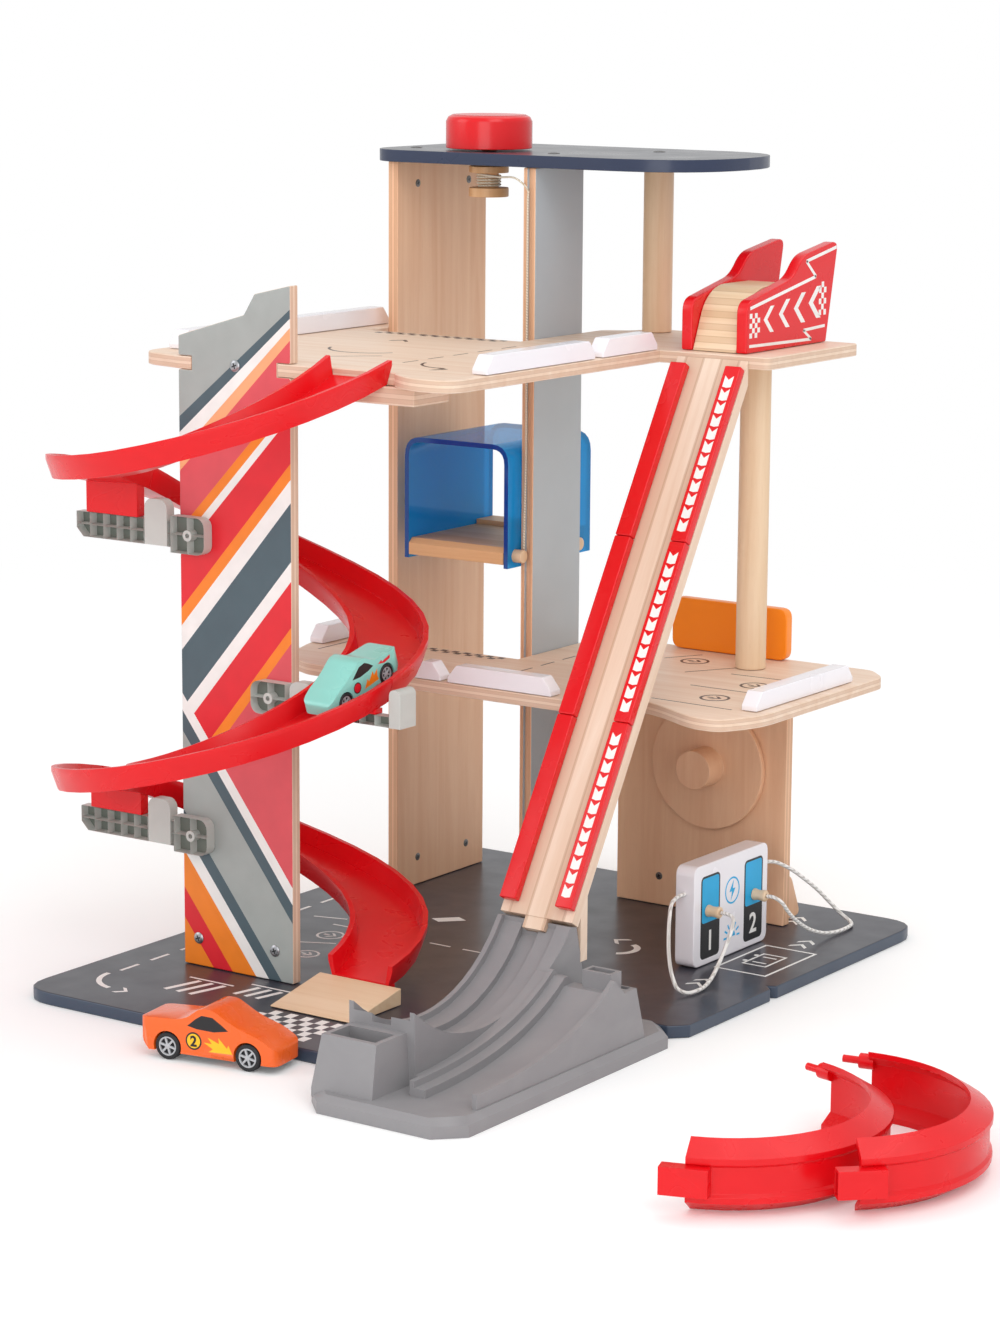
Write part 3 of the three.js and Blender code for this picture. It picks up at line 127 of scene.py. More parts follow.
def addNode(tree, kind, inputs=None, **settings):
    made = tree.nodes.new(kind)
    for name, value in settings.items():
        setattr(made, name, value)
    setInputs(tree, made, inputs or {})
    return made


def newMaterial(name):
    material = bpy.data.materials.new(name)
    material.use_nodes = True
    return material, material.node_tree, material.node_tree.nodes["Principled BSDF"]


def objectCoords(tree, turn=(0, 0, 0), size=(1, 1, 1)):
    # size is the length of one pattern unit along each axis, in mm
    coords = addNode(tree, "ShaderNodeTexCoord")
    turned = addNode(tree, "ShaderNodeMapping", {"Vector": coords.outputs["Object"], "Rotation": turn})
    scale = [1 / (length * mm) for length in size]
    return addNode(tree, "ShaderNodeMapping", {"Vector": turned.outputs[0], "Scale": scale}).outputs[0]


def noise(tree, coords, detail=3, roughness=0.5, distortion=0.0):
    inputs = {"Vector": coords, "Scale": 1.0, "Detail": detail, "Roughness": roughness}
    inputs["Distortion"] = distortion
    return addNode(tree, "ShaderNodeTexNoise", inputs).outputs[0]


def speckle(tree, size, *details):
    # a noise of one size along all axes
    return noise(tree, objectCoords(tree, size=(size, size, size)), *details)


def spread(tree, value, low, high, toLow=0.0, toHigh=1.0):
    inputs = {"Value": value, 1: low, 2: high, 3: toLow, 4: toHigh}
    return addNode(tree, "ShaderNodeMapRange", inputs).outputs[0]


def sums(tree, kind, a, b):
    return addNode(tree, "ShaderNodeMath", {0: a, 1: b}, operation=kind).outputs[0]


def blendColours(tree, factor, a, b):
    # a and b are hex values or outputs of nodes
    a, b = [paint(colour) if isinstance(colour, str) else colour for colour in (a, b)]
    node = addNode(tree, "ShaderNodeMix", {0: factor, 6: a, 7: b}, data_type="RGBA", blend_type="MIX")
    return node.outputs[2]


def bump(tree, height, depth, strength=0.5):
    # depth in mm
    inputs = {"Height": height, "Distance": depth * mm, "Strength": strength}
    return addNode(tree, "ShaderNodeBump", inputs).outputs[0]


def around(tree, value, middle, below, above):
    # a roughness that wanders about its middle value with a noise
    return spread(tree, value, 0.3, 0.7, middle - below, middle + above)


# Wood finishes

woodTones = {
    "birch": {"light": "F0DAC6", "dark": "E0C0A6", "endGrain": "C8A083", "glue": "B08766"},
    # shaded: a copy of the birch tone for the boards that stand in shade, pinker and more saturated than the
    # lit birch: painted shade
    "shaded": {"light": "F4C8A4", "dark": "E6B08A", "endGrain": "C6926E", "glue": "A27855"},
    "honey": {"light": "E0B283", "dark": "C68F5E", "endGrain": "B88455", "glue": "A0764E"},
    "pale": {"light": "EFD5B6", "dark": "DDB88F", "endGrain": "C9A37D", "glue": "B48A63"},
}
woodGrain = {
    "streaks": (8.0, 150.0),  # mm across and along the grain
    "pores": (0.55, 9.0),  # drawn a little coarser than real pores, so that they show
    "clouds": (38.0, 90.0),
    "roughness": 0.46,
    "relief": 0.05,
    "plyShade": 0.45,
    "glueFrom": 0.43,
    "glueShade": 0.4,
}


def alongAxis(across, along, axis):
    size = [across, across, across]
    size["xyz".index(axis)] = along
    return size


def lacqueredWood(name, tone, grainAxis, tilt=0.0, plies=None):
    # Birch veneer under clear satin lacquer: warm streaks along the grain, fine pores, and
    # where plies is (axis, low, thick, layers), the stacked plies show on the edges.
    g, t = woodGrain, woodTones[tone]
    material, tree, shader = newMaterial(name)

    def grain(across, along, *details):
        return noise(tree, objectCoords(tree, (tilt, 0, 0), alongAxis(across, along, grainAxis)), *details)

    streaks = grain(*g["streaks"], 4, 0.55, 0.7)
    pores = grain(*g["pores"], 2, 0.6)
    clouds = grain(*g["clouds"], 2, 0.5)
    colour = blendColours(tree, spread(tree, streaks, 0.3, 0.86), t["light"], t["dark"])
    colour = blendColours(tree, spread(tree, clouds, 0.35, 0.75, 0.0, 0.25), colour, t["dark"])
    colour = blendColours(tree, spread(tree, pores, 0.55, 0.8, 0.0, 0.16), colour, t["endGrain"])
    if plies:
        axis, low, thick, layers = plies
        coords = addNode(tree, "ShaderNodeTexCoord").outputs["Object"]
        height = addNode(tree, "ShaderNodeSeparateXYZ", {0: coords}).outputs["xyz".index(axis)]
        level = spread(tree, height, low * mm, (low + thick) * mm, 0.5, layers - 0.5)
        odd = sums(tree, "GREATER_THAN", sums(tree, "MODULO", level, 2.0), 1.0)
        colour = blendColours(tree, sums(tree, "MULTIPLY", odd, g["plyShade"]), colour, t["endGrain"])
        off = sums(tree, "SUBTRACT", sums(tree, "FRACT", level, 0.0), 0.5)
        edge = sums(tree, "GREATER_THAN", sums(tree, "ABSOLUTE", off, 0.0), g["glueFrom"])
        colour = blendColours(tree, sums(tree, "MULTIPLY", edge, g["glueShade"]), colour, t["glue"])
    setInputs(tree, shader, {
        "Base Color": colour,
        "Roughness": around(tree, streaks, g["roughness"], 0.06, 0.06),
        "Normal": bump(tree, pores, g["relief"], 0.6),
    })
    return material


def enamelledWood(name, hexValue, roughness, shade, coat=0.3):
    # Sprayed enamel on sanded wood: an even colour with a faint orange peel and slight pooling.
    material, tree, shader = newMaterial(name)
    peel = speckle(tree, 1.4, 2)
    pool = speckle(tree, 24)
    share = spread(tree, pool, 0.35, 0.7, 0.0, 0.16)
    setInputs(tree, shader, {
        "Base Color": blendColours(tree, share, hexValue, shade),
        "Roughness": around(tree, pool, roughness, 0.05, 0.06),
        "Normal": bump(tree, peel, 0.02),
        "Coat Weight": coat, "Coat Roughness": 0.18, "Specular IOR Level": 0.36,
    })
    return material


def mouldedPlastic(name, hexValue, shade, roughness, grain=0.5, relief=0.015):
    # Injection moulded ABS: an even body colour, a fine spark-eroded skin and soft flow clouds.
    material, tree, shader = newMaterial(name)
    skin = speckle(tree, grain, 2)
    flow = noise(tree, objectCoords(tree, size=(30, 30, 18)), 3, 0.5, 0.6)
    share = spread(tree, flow, 0.35, 0.72, 0.0, 0.5)
    setInputs(tree, shader, {
        "Base Color": blendColours(tree, share, hexValue, shade),
        "Roughness": around(tree, flow, roughness, 0.04, 0.07),
        "Normal": bump(tree, skin, relief),
        "IOR": 1.53, "Specular IOR Level": 0.36,
    })
    return material


def tintedAcrylic(name, hexValue, bodyHex, solidShare):
    # Clear tinted plastic: what is behind shows through the tint, and the skin stays glossy.
    material, tree, shader = newMaterial(name)
    haze = speckle(tree, 40, 2)
    gloss = spread(tree, haze, 0.3, 0.7, 0.05, 0.12)
    setInputs(tree, shader, {"Base Color": paint(bodyHex), "Roughness": gloss, "IOR": 1.49})
    clear = addNode(tree, "ShaderNodeBsdfTransparent", {"Color": paint(hexValue)})
    share = around(tree, haze, solidShare, 0.02, 0.02)
    mixed = addNode(tree, "ShaderNodeMixShader", {0: share, 1: clear.outputs[0], 2: shader.outputs[0]})
    tree.links.new(mixed.outputs[0], tree.nodes["Material Output"].inputs["Surface"])
    return material


def screenInk(name, hexValue):
    # Screen printed ink: a thin even film with a fine mesh texture.
    material, tree, shader = newMaterial(name)
    mesh = speckle(tree, 0.7, 2)
    clouds = speckle(tree, 15, 2)
    darker = [c * 0.93 for c in paint(hexValue)[:3]] + [1.0]
    setInputs(tree, shader, {
        "Base Color": blendColours(tree, spread(tree, clouds, 0.35, 0.7), hexValue, darker),
        "Roughness": around(tree, mesh, 0.42, 0.04, 0.05),
        "Normal": bump(tree, mesh, 0.008),
    })
    return material


def twistedYarn(name, hexValue, hollowShadeHex, lay):
    # Cotton cord: pale strands with painted shade in the hollows between them, lay mm apart.
    material, tree, shader = newMaterial(name)
    coords = objectCoords(tree, (radians(32), radians(24), radians(38)), (lay, lay, lay))
    wave = addNode(tree, "ShaderNodeTexWave", {"Vector": coords, "Scale": 0.32, "Distortion": 1.2})
    strands = wave.outputs[1]
    fuzz = speckle(tree, 0.4, 3, 0.6)
    colour = blendColours(tree, spread(tree, strands, 0.1, 0.7), hollowShadeHex, hexValue)
    # random fuzz, darkened here and there with the same painted shade colour
    colour = blendColours(tree, spread(tree, fuzz, 0.4, 0.7, 0.0, 0.2), colour, hollowShadeHex)
    setInputs(tree, shader, {
        "Base Color": colour, "Normal": bump(tree, strands, 0.2, 0.7), "Roughness": 0.85, "Sheen Weight": 0.3,
    })
    return material


def platedSteel(name, hexValue, roughness):
    # Zinc plated steel: bright, with fine turning marks.
    material, tree, shader = newMaterial(name)
    marks = speckle(tree, 0.3, 3, 0.6)
    setInputs(tree, shader, {
        "Base Color": blendColours(tree, marks, hexValue, "8E9094"),
        "Roughness": around(tree, marks, roughness, 0.06, 0.1), "Metallic": 1.0,
    })
    return material


def boardPlies(node, axis, layers=5):
    low, high = edges(node)
    k = "xyz".index(axis)
    return (axis, low[k], high[k] - low[k], layers)


rampTilt = -radians(58.9)  # turns the ramp's slope to the Y axis
finishRows = {
    lacqueredWood: {  # name, tone, grain axis, tilt, plies
        "middlePly": ("birchPlywoodMiddleDeck", "birch", "x", 0, boardPlies("middle_deck", "z")),
        "upperPly": ("birchPlywoodUpperDeck", "birch", "x", 0, boardPlies("upper_deck", "z")),
        "westPly": ("birchPlywoodLiftPanel", "shaded", "z", 0, boardPlies("west_lift_panel", "x")),
        "eastPly": ("birchPlywoodGuidePanel", "shaded", "z", 0, boardPlies("east_lift_panel", "x")),
        "wallPly": ("birchPlywoodLowerWall", "shaded", "z", 0, ("y", 154.8, 7.2, 5)),
        "towerPly": ("birchPlywoodTower", "birch", "z", 0, boardPlies("tower_panel", "y")),
        "rampPly": ("birchPlywoodRamp", "birch", "y", rampTilt, boardPlies("ramp_board", "x")),
        "blockPly": ("birchPlywoodBlock", "birch", "x", 0, boardPlies("road_block", "z")),
        "bentPly": ("bentPlywoodHump", "pale", "x", 0, ("z", 350.0, 56.0, 17)),
        "post": ("turnedBeechPost", "pale", "z"),
        "beechBlock": ("beechBlock", "pale", "x"),
        "cabinWood": ("oiledBeechCabinFloor", "honey", "x"),
        "spoolWood": ("turnedBeechSpool", "honey", "z"),
        "plugWood": ("turnedBeechPlug", "pale", "x"),
        "discWood": ("beechDisc", "shaded", "z"),
    },
    enamelledWood: {  # name, colour, roughness, second colour, coat
        "slateTop": ("charcoalPrintedLacquer", "35353F", 0.34, "40404B", 0.25),
        "slateEdge": ("navyLacquerEdge", "3B4759", 0.36, "333D4E"),
        "roofTop": ("navyPrintedLacquer", "3A3D47", 0.3, "444753", 0.35),
        "roofEdge": ("navyGlossEdge", "2A3550", 0.3, "222C44"),
        "greyBlue": ("greyBlueEnamel", "B7C1C7", 0.38, "A9B4BB"),
        "orangeWall": ("orangeEnamel", "FF8F12", 0.34, "F9850C"),
        "whiteCurb": ("whiteGlossEnamel", "F4F1F6", 0.22, "ECE8F1", 0.5),
        "redEnamel": ("redGlossEnamel", "E20D18", 0.24, "D30A15", 0.25),
        "orangeCar": ("orangeCarEnamel", "F4661B", 0.26, "EC5A12", 0.5),
        "mintCar": ("mintCarEnamel", "8FD9CE", 0.28, "84CFC4", 0.5),
    },
    mouldedPlastic: {  # name, colour, second colour, roughness, size of the skin, its relief
        "redPlastic": ("redMouldedPlastic", "E30C17", "D50913", 0.28),
        "greyPlastic": ("greyMouldedPlastic", "918F91", "878588", 0.42, 0.6, 0.03),
        "lightGrey": ("lightGreyMouldedPlastic", "C6C9C4", "BABDB9", 0.4),
        # pocket floors: the same light grey plastic, darker: painted shade in the recesses
        "pocketShade": ("lightGreyPlasticPocketShade", "747A72", "646A63", 0.55),
        "tyre": ("blackMouldedTyre", "26272A", "1E1F22", 0.55, 0.4, 0.03),
        "rim": ("greyMouldedRim", "B9BCC0", "A7AAAF", 0.35),
    },
    tintedAcrylic: {  # name, tint, body colour, share of the body
        "blueClear": ("blueTintedAcrylic", "6CC8F2", "1BA6EC", 0.6),
        # the same acrylic, darker and more solid, for the faces that look along y: painted shade on the
        # cabin's front and back rims
        "bluePaintedShade": ("blueTintedAcrylicPaintedShade", "2C5FB8", "10499A", 0.8),
    },
    twistedYarn: {
        # name, colour, painted shade colour of the hollows, lay in mm
        "cord": ("whiteBraidedCord", "F6F4F1", "CFCBC6", 1.6),
        "string": ("twistedCottonString", "EFE6D6", "BFAE92", 1.0),
    },
    platedSteel: {
        "screw": ("zincPlatedScrew", "C9CBCF", 0.3),
        "darkScrew": ("blackenedScrew", "6B6258", 0.42),
    },
    screenInk: {"brownInk": ("burntBrownInk", "4A3A32")},
}
finish = {key: make(*row) for make, rows in finishRows.items() for key, row in rows.items()}
inkColours = {
    "white": "F4F3F0", "black": "1C1D20", "slate": "4C5F68", "grey": "A7AEAB", "peach": "F9AE7C",
    "coral": "E0525B", "red": "E31B2A", "orange": "F8861B", "blue": "12AEE6", "yellow": "F7C51E",
}
for colour, value in inkColours.items():
    finish[colour + "Ink"] = screenInk(colour + "ScreenInk", value)
print("materials are made")


# Mesh tools


def nodeMesh(node):
    # a merged copy of a CAD node, with flat faces joined
    bm = bmesh.new()
    bm.from_mesh(frame["nodes"][node].data)
    bmesh.ops.remove_doubles(bm, verts=bm.verts, dist=0.01 * mm)
    bmesh.ops.dissolve_limit(bm, angle_limit=radians(0.6), verts=bm.verts, edges=bm.edges)
    return bm


def roundEdges(bm, radius, segments=2, sharper=32, only=None):
    # edges that turn by more than sharper degrees get a small round, radius in mm
    chosen = []
    for edge in bm.edges:
        if len(edge.link_faces) == 2 and edge.calc_face_angle(0) > radians(sharper):
            if only is None or only(edge):
                chosen.append(edge)
    bmesh.ops.bevel(
        bm, geom=chosen, offset=radius * mm, segments=segments, profile=0.5,
        affect="EDGES", material=-1, clamp_overlap=True,
    )


def meshPiece(name, bm, finishes, smooth=34):
    mesh = bpy.data.meshes.new(name)
    bm.normal_update()
    bm.to_mesh(mesh)
    bm.free()
    for material in finishes:
        mesh.materials.append(material)
    mesh.shade_smooth()
    mesh.set_sharp_from_angle(angle=radians(smooth))
    return addObject(name, mesh)


def standIn(node):
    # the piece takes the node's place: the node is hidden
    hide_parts(node)


def makePiece(name, bm, finishes, node, replaced=False, smooth=34):
    # a piece that moves with the node, and takes its place where replaced is set
    piece = meshPiece(name, bm, finishes, smooth)
    if replaced:
        standIn(node)
    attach(piece, bodyOf[node])
    return piece


def addCurve(bm, data, place=Matrix()):
    # adds the mesh of a curve or a text, which is then removed
    holder = bpy.data.objects.new(data.name, data)
    mesh = bpy.data.meshes.new_from_object(holder)
    mesh.transform(place)
    bm.from_mesh(mesh)
    bpy.data.objects.remove(holder)
    bpy.data.curves.remove(data)
    bpy.data.meshes.remove(mesh)


def softened(node, finishes, radius=0.5, colouring=None):
    # the node's own shape with rounded edges
    bm = nodeMesh(node)
    roundEdges(bm, radius)
    if colouring:
        colouring(bm)
    piece = makePiece(node + "_finished", bm, finishes, node, True)
    normals = piece.modifiers.new("evenNormals", "WEIGHTED_NORMAL")
    normals.keep_sharp = True


def flatOn(axis, index):
    # faces that look along an axis, either way, take the material of that index
    k = "xyz".index(axis)

    def colouring(bm):
        bm.normal_update()
        for face in bm.faces:
            if abs(face.normal[k]) > 0.9:
                face.material_index = index

    return colouring


def spun(bm, profile, at, axis, steps=32, index=0):
    # profile is [radius, height] in mm, turned about axis through at
    axis = Vector(axis).normalized()
    side = axis.orthogonal().normalized()
    start = Vector(at)
    before = set(bm.faces)
    points = [bm.verts.new((start + side * r + axis * h) * mm) for r, h in profile]
    wires = [bm.edges.new(pair) for pair in zip(points, points[1:])]
    bmesh.ops.spin(
        bm, geom=points + wires, cent=start * mm, axis=axis, angle=2 * pi, steps=steps,
        use_merge=True, use_duplicate=False,
    )
    verts = {vert for face in bm.faces if face not in before for vert in face.verts}
    bmesh.ops.remove_doubles(bm, verts=list(verts), dist=0.005 * mm)
    made = [face for face in bm.faces if face not in before]
    for face in made:
        face.material_index = index
    bmesh.ops.recalc_face_normals(bm, faces=made)


def block(bm, low, high, index=0, turn=None):
    # a box from low to high in mm
    low, high = Vector(low), Vector(high)
    size = Matrix.Diagonal([*(high - low), 1.0])
    middle = Matrix.Translation((low + high) / 2)
    place = Matrix.Scale(mm, 4) @ (turn or Matrix()) @ middle @ size
    made = bmesh.ops.create_cube(bm, size=1.0, matrix=place)
    faces = {face for vert in made["verts"] for face in vert.link_faces}
    for face in faces:
        face.material_index = index
    return faces


# Boards, posts and blocks

def named(start, *ends):
    return [start + end for end in ends]


plainBoards = [  # finish, radius of the rounded edges in mm, nodes
    ("middlePly", 0.7, ["middle_deck"]),
    ("upperPly", 0.7, ["upper_deck"]),
    ("westPly", 0.6, ["west_lift_panel"]),
    ("wallPly", 0.6, ["lower_wall_panel"]),
    ("post", 0.5, ["lower_column", "upper_column"]),
    ("orangeWall", 0.9, ["orange_wall"]),
    ("whiteCurb", 0.6, named("upper_curb_", "front", "rear", "left")),
    ("whiteCurb", 0.6, named("middle_curb_", "front", "centre", "right", "left")),
    ("redPlastic", 0.5, named("spiral_road_", "first", "second", "third", "fourth")),
    ("blockPly", 0.5, ["road_block"]),
    ("beechBlock", 0.5, ["exit_wedge"]),
    ("rampPly", 0.6, ["ramp_board"]),
    ("redEnamel", 0.8, named("ramp_rail_left_", "1", "2", "3") + named("ramp_rail_right_", "1", "2", "3")),
    ("greyPlastic", 0.5, ["launch_base"]),
    ("redEnamel", 0.9, ["start_panel_left", "start_panel_right"]),
    ("bentPly", 0.5, ["start_hump"]),
    ("cabinWood", 0.5, ["cabin_floor"]),
    ("post", 0.5, ["cabin_dowel_front", "cabin_dowel_rear"]),
    ("redEnamel", 0.5, ["lift_knob"]),
    ("spoolWood", 0.4, ["lift_spool"]),
    ("whiteCurb", 1.0, ["charger_box"]),
    ("discWood", 0.5, ["wall_disc"]),
    ("redPlastic", 0.7, ["loop_half_left", "loop_half_right"]),
]
for material, radius, nodes in plainBoards:
    for node in nodes:
        softened(node, [finish[material]], radius)

softened("base_board", [finish["slateEdge"], finish["slateTop"]], 1.0, colouring=flatOn("z", 1))
softened("roof_board", [finish["roofEdge"], finish["roofTop"]], 0.9, colouring=flatOn("z", 1))
softened("east_lift_panel", [finish["eastPly"], finish["greyBlue"]], 0.6, colouring=flatOn("x", 1))
# faces that look along y take the darker blue: painted shade
softened("cabin_shell", [finish["blueClear"], finish["bluePaintedShade"]], 0.4, colouring=flatOn("y", 1))
print("boards are dressed")


# Tower print: bands that rise to the right, over bands that fall to the right

towerPrint = {
    "rising": [  # height at the left edge, height at the right edge, ink below that line
        (326, 391, "slateInk"), (317, 386, "whiteInk"), (305, 381, "peachInk"), (295, 374, "coralInk"),
        (262, 345, "orangeInk"), (254, 338, "whiteInk"), (247, 332, "redInk"), (216, 306, "orangeInk"),
        (206, 297, "whiteInk"), (192, 284, "slateInk"), (158, 251, "whiteInk"), (146, 240, "redInk"),
        (118, 214, "orangeInk"), (108, 205, "coralInk"),
    ],
    "falling": [
        (168, 64, "whiteInk"), (158, 54, "slateInk"), (146, 43, "greyInk"), (100, -2, "slateInk"),
        (88, -14, "whiteInk"), (76, -26, "orangeInk"), (54, -48, "redInk"), (36, -66, "orangeInk"),
    ],
    "inks": ["greyInk", "slateInk", "whiteInk", "peachInk", "coralInk", "orangeInk", "redInk"],
}


def towerBands(bm):
    low, high = edges("tower_panel")
    left, right, front = low.x, high.x, low.y
    bm.normal_update()
    for face in bm.faces:
        if face.normal.y < -0.9:
            face.material_index = 1
    for lines in (towerPrint["rising"], towerPrint["falling"]):
        for atLeft, atRight, ink in lines:
            on = Vector((left, front, atLeft)) * mm
            across = Vector((right - left, 0, atRight - atLeft))
            up = Vector((-across.z, 0, across.x)).normalized()
            faces = [face for face in bm.faces if face.normal.y < -0.9]
            parts = {part for face in faces for part in [*face.verts, *face.edges]}
            bmesh.ops.bisect_plane(
                bm, geom=[*faces, *parts], dist=0.001 * mm, plane_co=on, plane_no=up,
            )
            bm.normal_update()
            for face in bm.faces:
                if face.normal.y < -0.9 and (face.calc_center_median() - on).dot(up) < 0:
                    face.material_index = 1 + towerPrint["inks"].index(ink)


towerInks = [finish["towerPly"]] + [finish[ink] for ink in towerPrint["inks"]]
softened("tower_panel", towerInks, 0.7, colouring=towerBands)
print("tower is printed")


# Printed marks: each is a thin inlay that stands just proud of its surface

inkDepth = {"proud": 0.05, "sunk": 0.3}  # mm


def onTop(level):
    return lambda u, v, out: Vector((u, v, level + out)) * mm


def onRight(level):
    return lambda u, v, out: Vector((level + out, u, v)) * mm


def inlay(bm, outlines, place, index=0):
    # flat outlines, from just proud of the surface to a little below it
    proud, sunk = inkDepth["proud"], inkDepth["sunk"]
    for outline in outlines:
        face = bm.faces.new([bm.verts.new(place(u, v, proud)) for u, v in outline])
        grown = bmesh.ops.extrude_face_region(bm, geom=[face])["geom"]
        low = [part for part in grown if isinstance(part, bmesh.types.BMVert)]
        bmesh.ops.translate(bm, verts=low, vec=place(0, 0, -sunk) - place(0, 0, proud))
        sheet = {face} | {near for vert in low for near in vert.link_faces}
        for part in sheet:
            part.material_index = index
        bmesh.ops.recalc_face_normals(bm, faces=list(sheet))


def stroke(a, b, wide):
    a, b = Vector(a), Vector(b)
    side = (b - a).orthogonal().normalized() * wide / 2
    return [a - side, b - side, b + side, a + side]


def strokes(points, wide):
    return [stroke(a, b, wide) for a, b in zip(points, points[1:])]


def dashes(a, b, wide, dash, gap):
    a, b = Vector(a), Vector(b)
    count = int(((b - a).length + gap) / (dash + gap))
    step = (b - a).normalized()
    starts = [a + step * k * (dash + gap) for k in range(count)]
    return [stroke(start, start + step * dash, wide) for start in starts]


def arc(centre, radius, wide, start, end, parts=12):
    def spot(r, k):
        angle = radians(start + (end - start) * k / parts)
        return Vector((centre[0] + cos(angle) * r, centre[1] + sin(angle) * r))

    inner, outer = radius - wide / 2, radius + wide / 2
    return [[spot(outer, k), spot(outer, k + 1), spot(inner, k + 1), spot(inner, k)] for k in range(parts)]


def disc(centre, radius, parts=28):
    x, y = centre
    turns = [2 * pi * k / parts for k in range(parts)]
    return [[(x + radius * cos(turn), y + radius * sin(turn)) for turn in turns]]


def frameLines(low, high, wide):
    (x0, y0), (x1, y1), h = low, high, wide / 2
    return [
        stroke((x0 - h, y0), (x1 + h, y0), wide), stroke((x0 - h, y1), (x1 + h, y1), wide),
        stroke((x0, y0 + h), (x0, y1 - h), wide), stroke((x1, y0 + h), (x1, y1 - h), wide),
    ]


def checks(low, high, columns, rows):
    (x0, y0), (x1, y1) = low, high
    dx, dy = (x1 - x0) / columns, (y1 - y0) / rows
    squares = []
    for i in range(columns):
        for j in range(rows):
            if (i + j) % 2 == 0:
                x, y = x0 + i * dx, y0 + j * dy
                squares.append([(x, y), (x + dx, y), (x + dx, y + dy), (x, y + dy)])
    return squares


def arrowHead(tip, heading, size):
    # a chevron that points along heading, in degrees
    along = Vector((cos(radians(heading)), sin(radians(heading))))
    side = Vector((-along.y, along.x))
    tip = Vector(tip)
    back = tip - along * size
    arm = along * size * 0.55
    left, right = back + side * size, back - side * size
    return [tip, left, left - arm, tip - arm, right - arm, right]


def printMarks(name, place, ink, outlines, node):
    bm = bmesh.new()
    inlay(bm, outlines, place)
    makePiece(name, bm, [finish[ink]], node)


def parkingBay(centre, size):
    # a round parking sign: a ring with an arrow in it
    x, y = centre
    return [
        *arc(centre, size, size * 0.2, 0, 360, 28),
        arrowHead((x + size * 0.55, y), 0, size * 0.5),
        stroke((x - size * 0.6, y), (x - size * 0.1, y), size * 0.22),
    ]


def printBoard(node, ink, name, outlines):
    printMarks(name, onTop(edges(node)[1].z), ink, outlines, node)


printBoard("base_board", "whiteInk", "base_road_print", [
    *dashes((-149, -153), (-149, 150), 2.2, 16, 11),
    *arc((-128, -161), 23, 3.2, 180, 262),
    arrowHead((-117, -184), 0, 5),
    *[stroke((-104 + 9 * k, -167), (-98 + 9 * k, -143), 3.4) for k in range(3)],
    stroke((-108, -140), (-76, -140), 1.6),
    *[stroke((-66 + 8 * k, -152), (-62 + 8 * k, -134), 3.2) for k in range(3)],
    stroke((-70, -131), (-42, -131), 1.6),
    *checks((-32, -209), (22, -164), 10, 6),
    *dashes((-112, 0), (60, 0), 1.6, 15, 9),
    *strokes([(-131, -52), (-104, -44), (-84, -34)], 1.6),
    stroke((-133, 8), (-112, 14), 1.6),
    [(-72, 46), (-60, 58), (-52, 54), (-64, 42)],
    *arc((56, 56), 12, 4, -60, 70),
    arrowHead((44, 71), 172, 6),
    *frameLines((124.5, 55), (158, 113), 1.6),
    *[arrowHead((134, y), 90, 5) for y in (22, 31)],
    *[arrowHead((141, y), 90, 5.5) for y in (128, 138)],
    *[arrowHead((110, y), 90, 5.5) for y in (172, 182)],
    *frameLines((133, 72), (148, 96), 1.4),
    *[stroke((136, y), (145, y), 1.6) for y in (78, 90)],
    *disc((131, 78), 1.7, 12),
    *disc((131, 91), 1.7, 12),
    *parkingBay((-98, -21), 8),
    *parkingBay((-84, -62), 7),
])
printBoard("middle_deck", "brownInk", "middle_deck_print", [
    stroke((46, 120), (59, 142), 1.1),
    stroke((79, 90), (97, 119), 1.1),
    stroke((104, 101), (142, 103), 1.1),
    stroke((102, 59), (141, 59), 1.1),
    stroke((104, 14), (158, 12), 1.1),
    *checks((-122, 55), (-30, 63), 22, 2),
    *dashes((0, 10), (0, 130), 1.1, 14, 9),
    stroke((-138, 20), (-138, 60), 1.1),
    *parkingBay((66, 122), 8),
    *parkingBay((133, 79), 8),
    *parkingBay((133, 35), 8),
])
printBoard("upper_deck", "brownInk", "upper_deck_print", [
    *checks((-122, 55), (-30, 63), 22, 2),
    *dashes((-8, -95), (-8, 40), 1.1, 14, 10),
    *arc((24, -60), 22, 1.6, 190, 280),
    arrowHead((32, -84), 20, 6),
    stroke((-60, -70), (-38, -50), 1.2),
    *arc((-66, -20), 26, 1.6, 200, 330),
    arrowHead((-80, 30), 90, 6),
    stroke((44, -60), (44, -20), 1.2),
    *parkingBay((-112, -60), 8),
])


# Start panel: white zigzag lines and checks, with plain chevrons between them

startFace = onRight(edges("start_panel_right")[1].x)
printMarks("start_panel_print", startFace, "whiteInk", [
    *strokes([(86, 386.5), (160, 400), (148.5, 409.5), (183.5, 415.8)], 1.9),
    *strokes([(85.5, 365), (156, 363.8), (146.5, 369.6), (171.5, 370.6)], 1.7),
    *checks((85.5, 369.5), (97, 383.5), 4, 5),
    *checks((164, 377), (172.5, 396.5), 3, 6),
    *[arrowHead((101 + 17 * k, 379 + 2 * k), 180, 7.5 + 0.6 * k) for k in range(4)],
], "start_panel_right")


# Ramp rails: a white chevron strip on each right rail

rampSet = {
    "foot": (-100.0, 68.0), "top": (75.0, 358.0),  # Y and Z
    "railInset": 6.0, "railHigh": 5.5, "seat": 0.3, "rails": 3, "railEnds": 8.0,
    "pitch": 8.1, "mark": 6.9, "notch": 2.6, "wide": 5.6,
}


def onRampRails(s):
    foot, top = Vector((0, *s["foot"])), Vector((0, *s["top"]))
    along = (top - foot).normalized()
    away = Vector((0, -along.z, along.y))
    face = foot + away * (s["seat"] + s["railHigh"])
    return lambda u, v, out: (face + along * u + away * out + Vector((v, 0, 0))) * mm


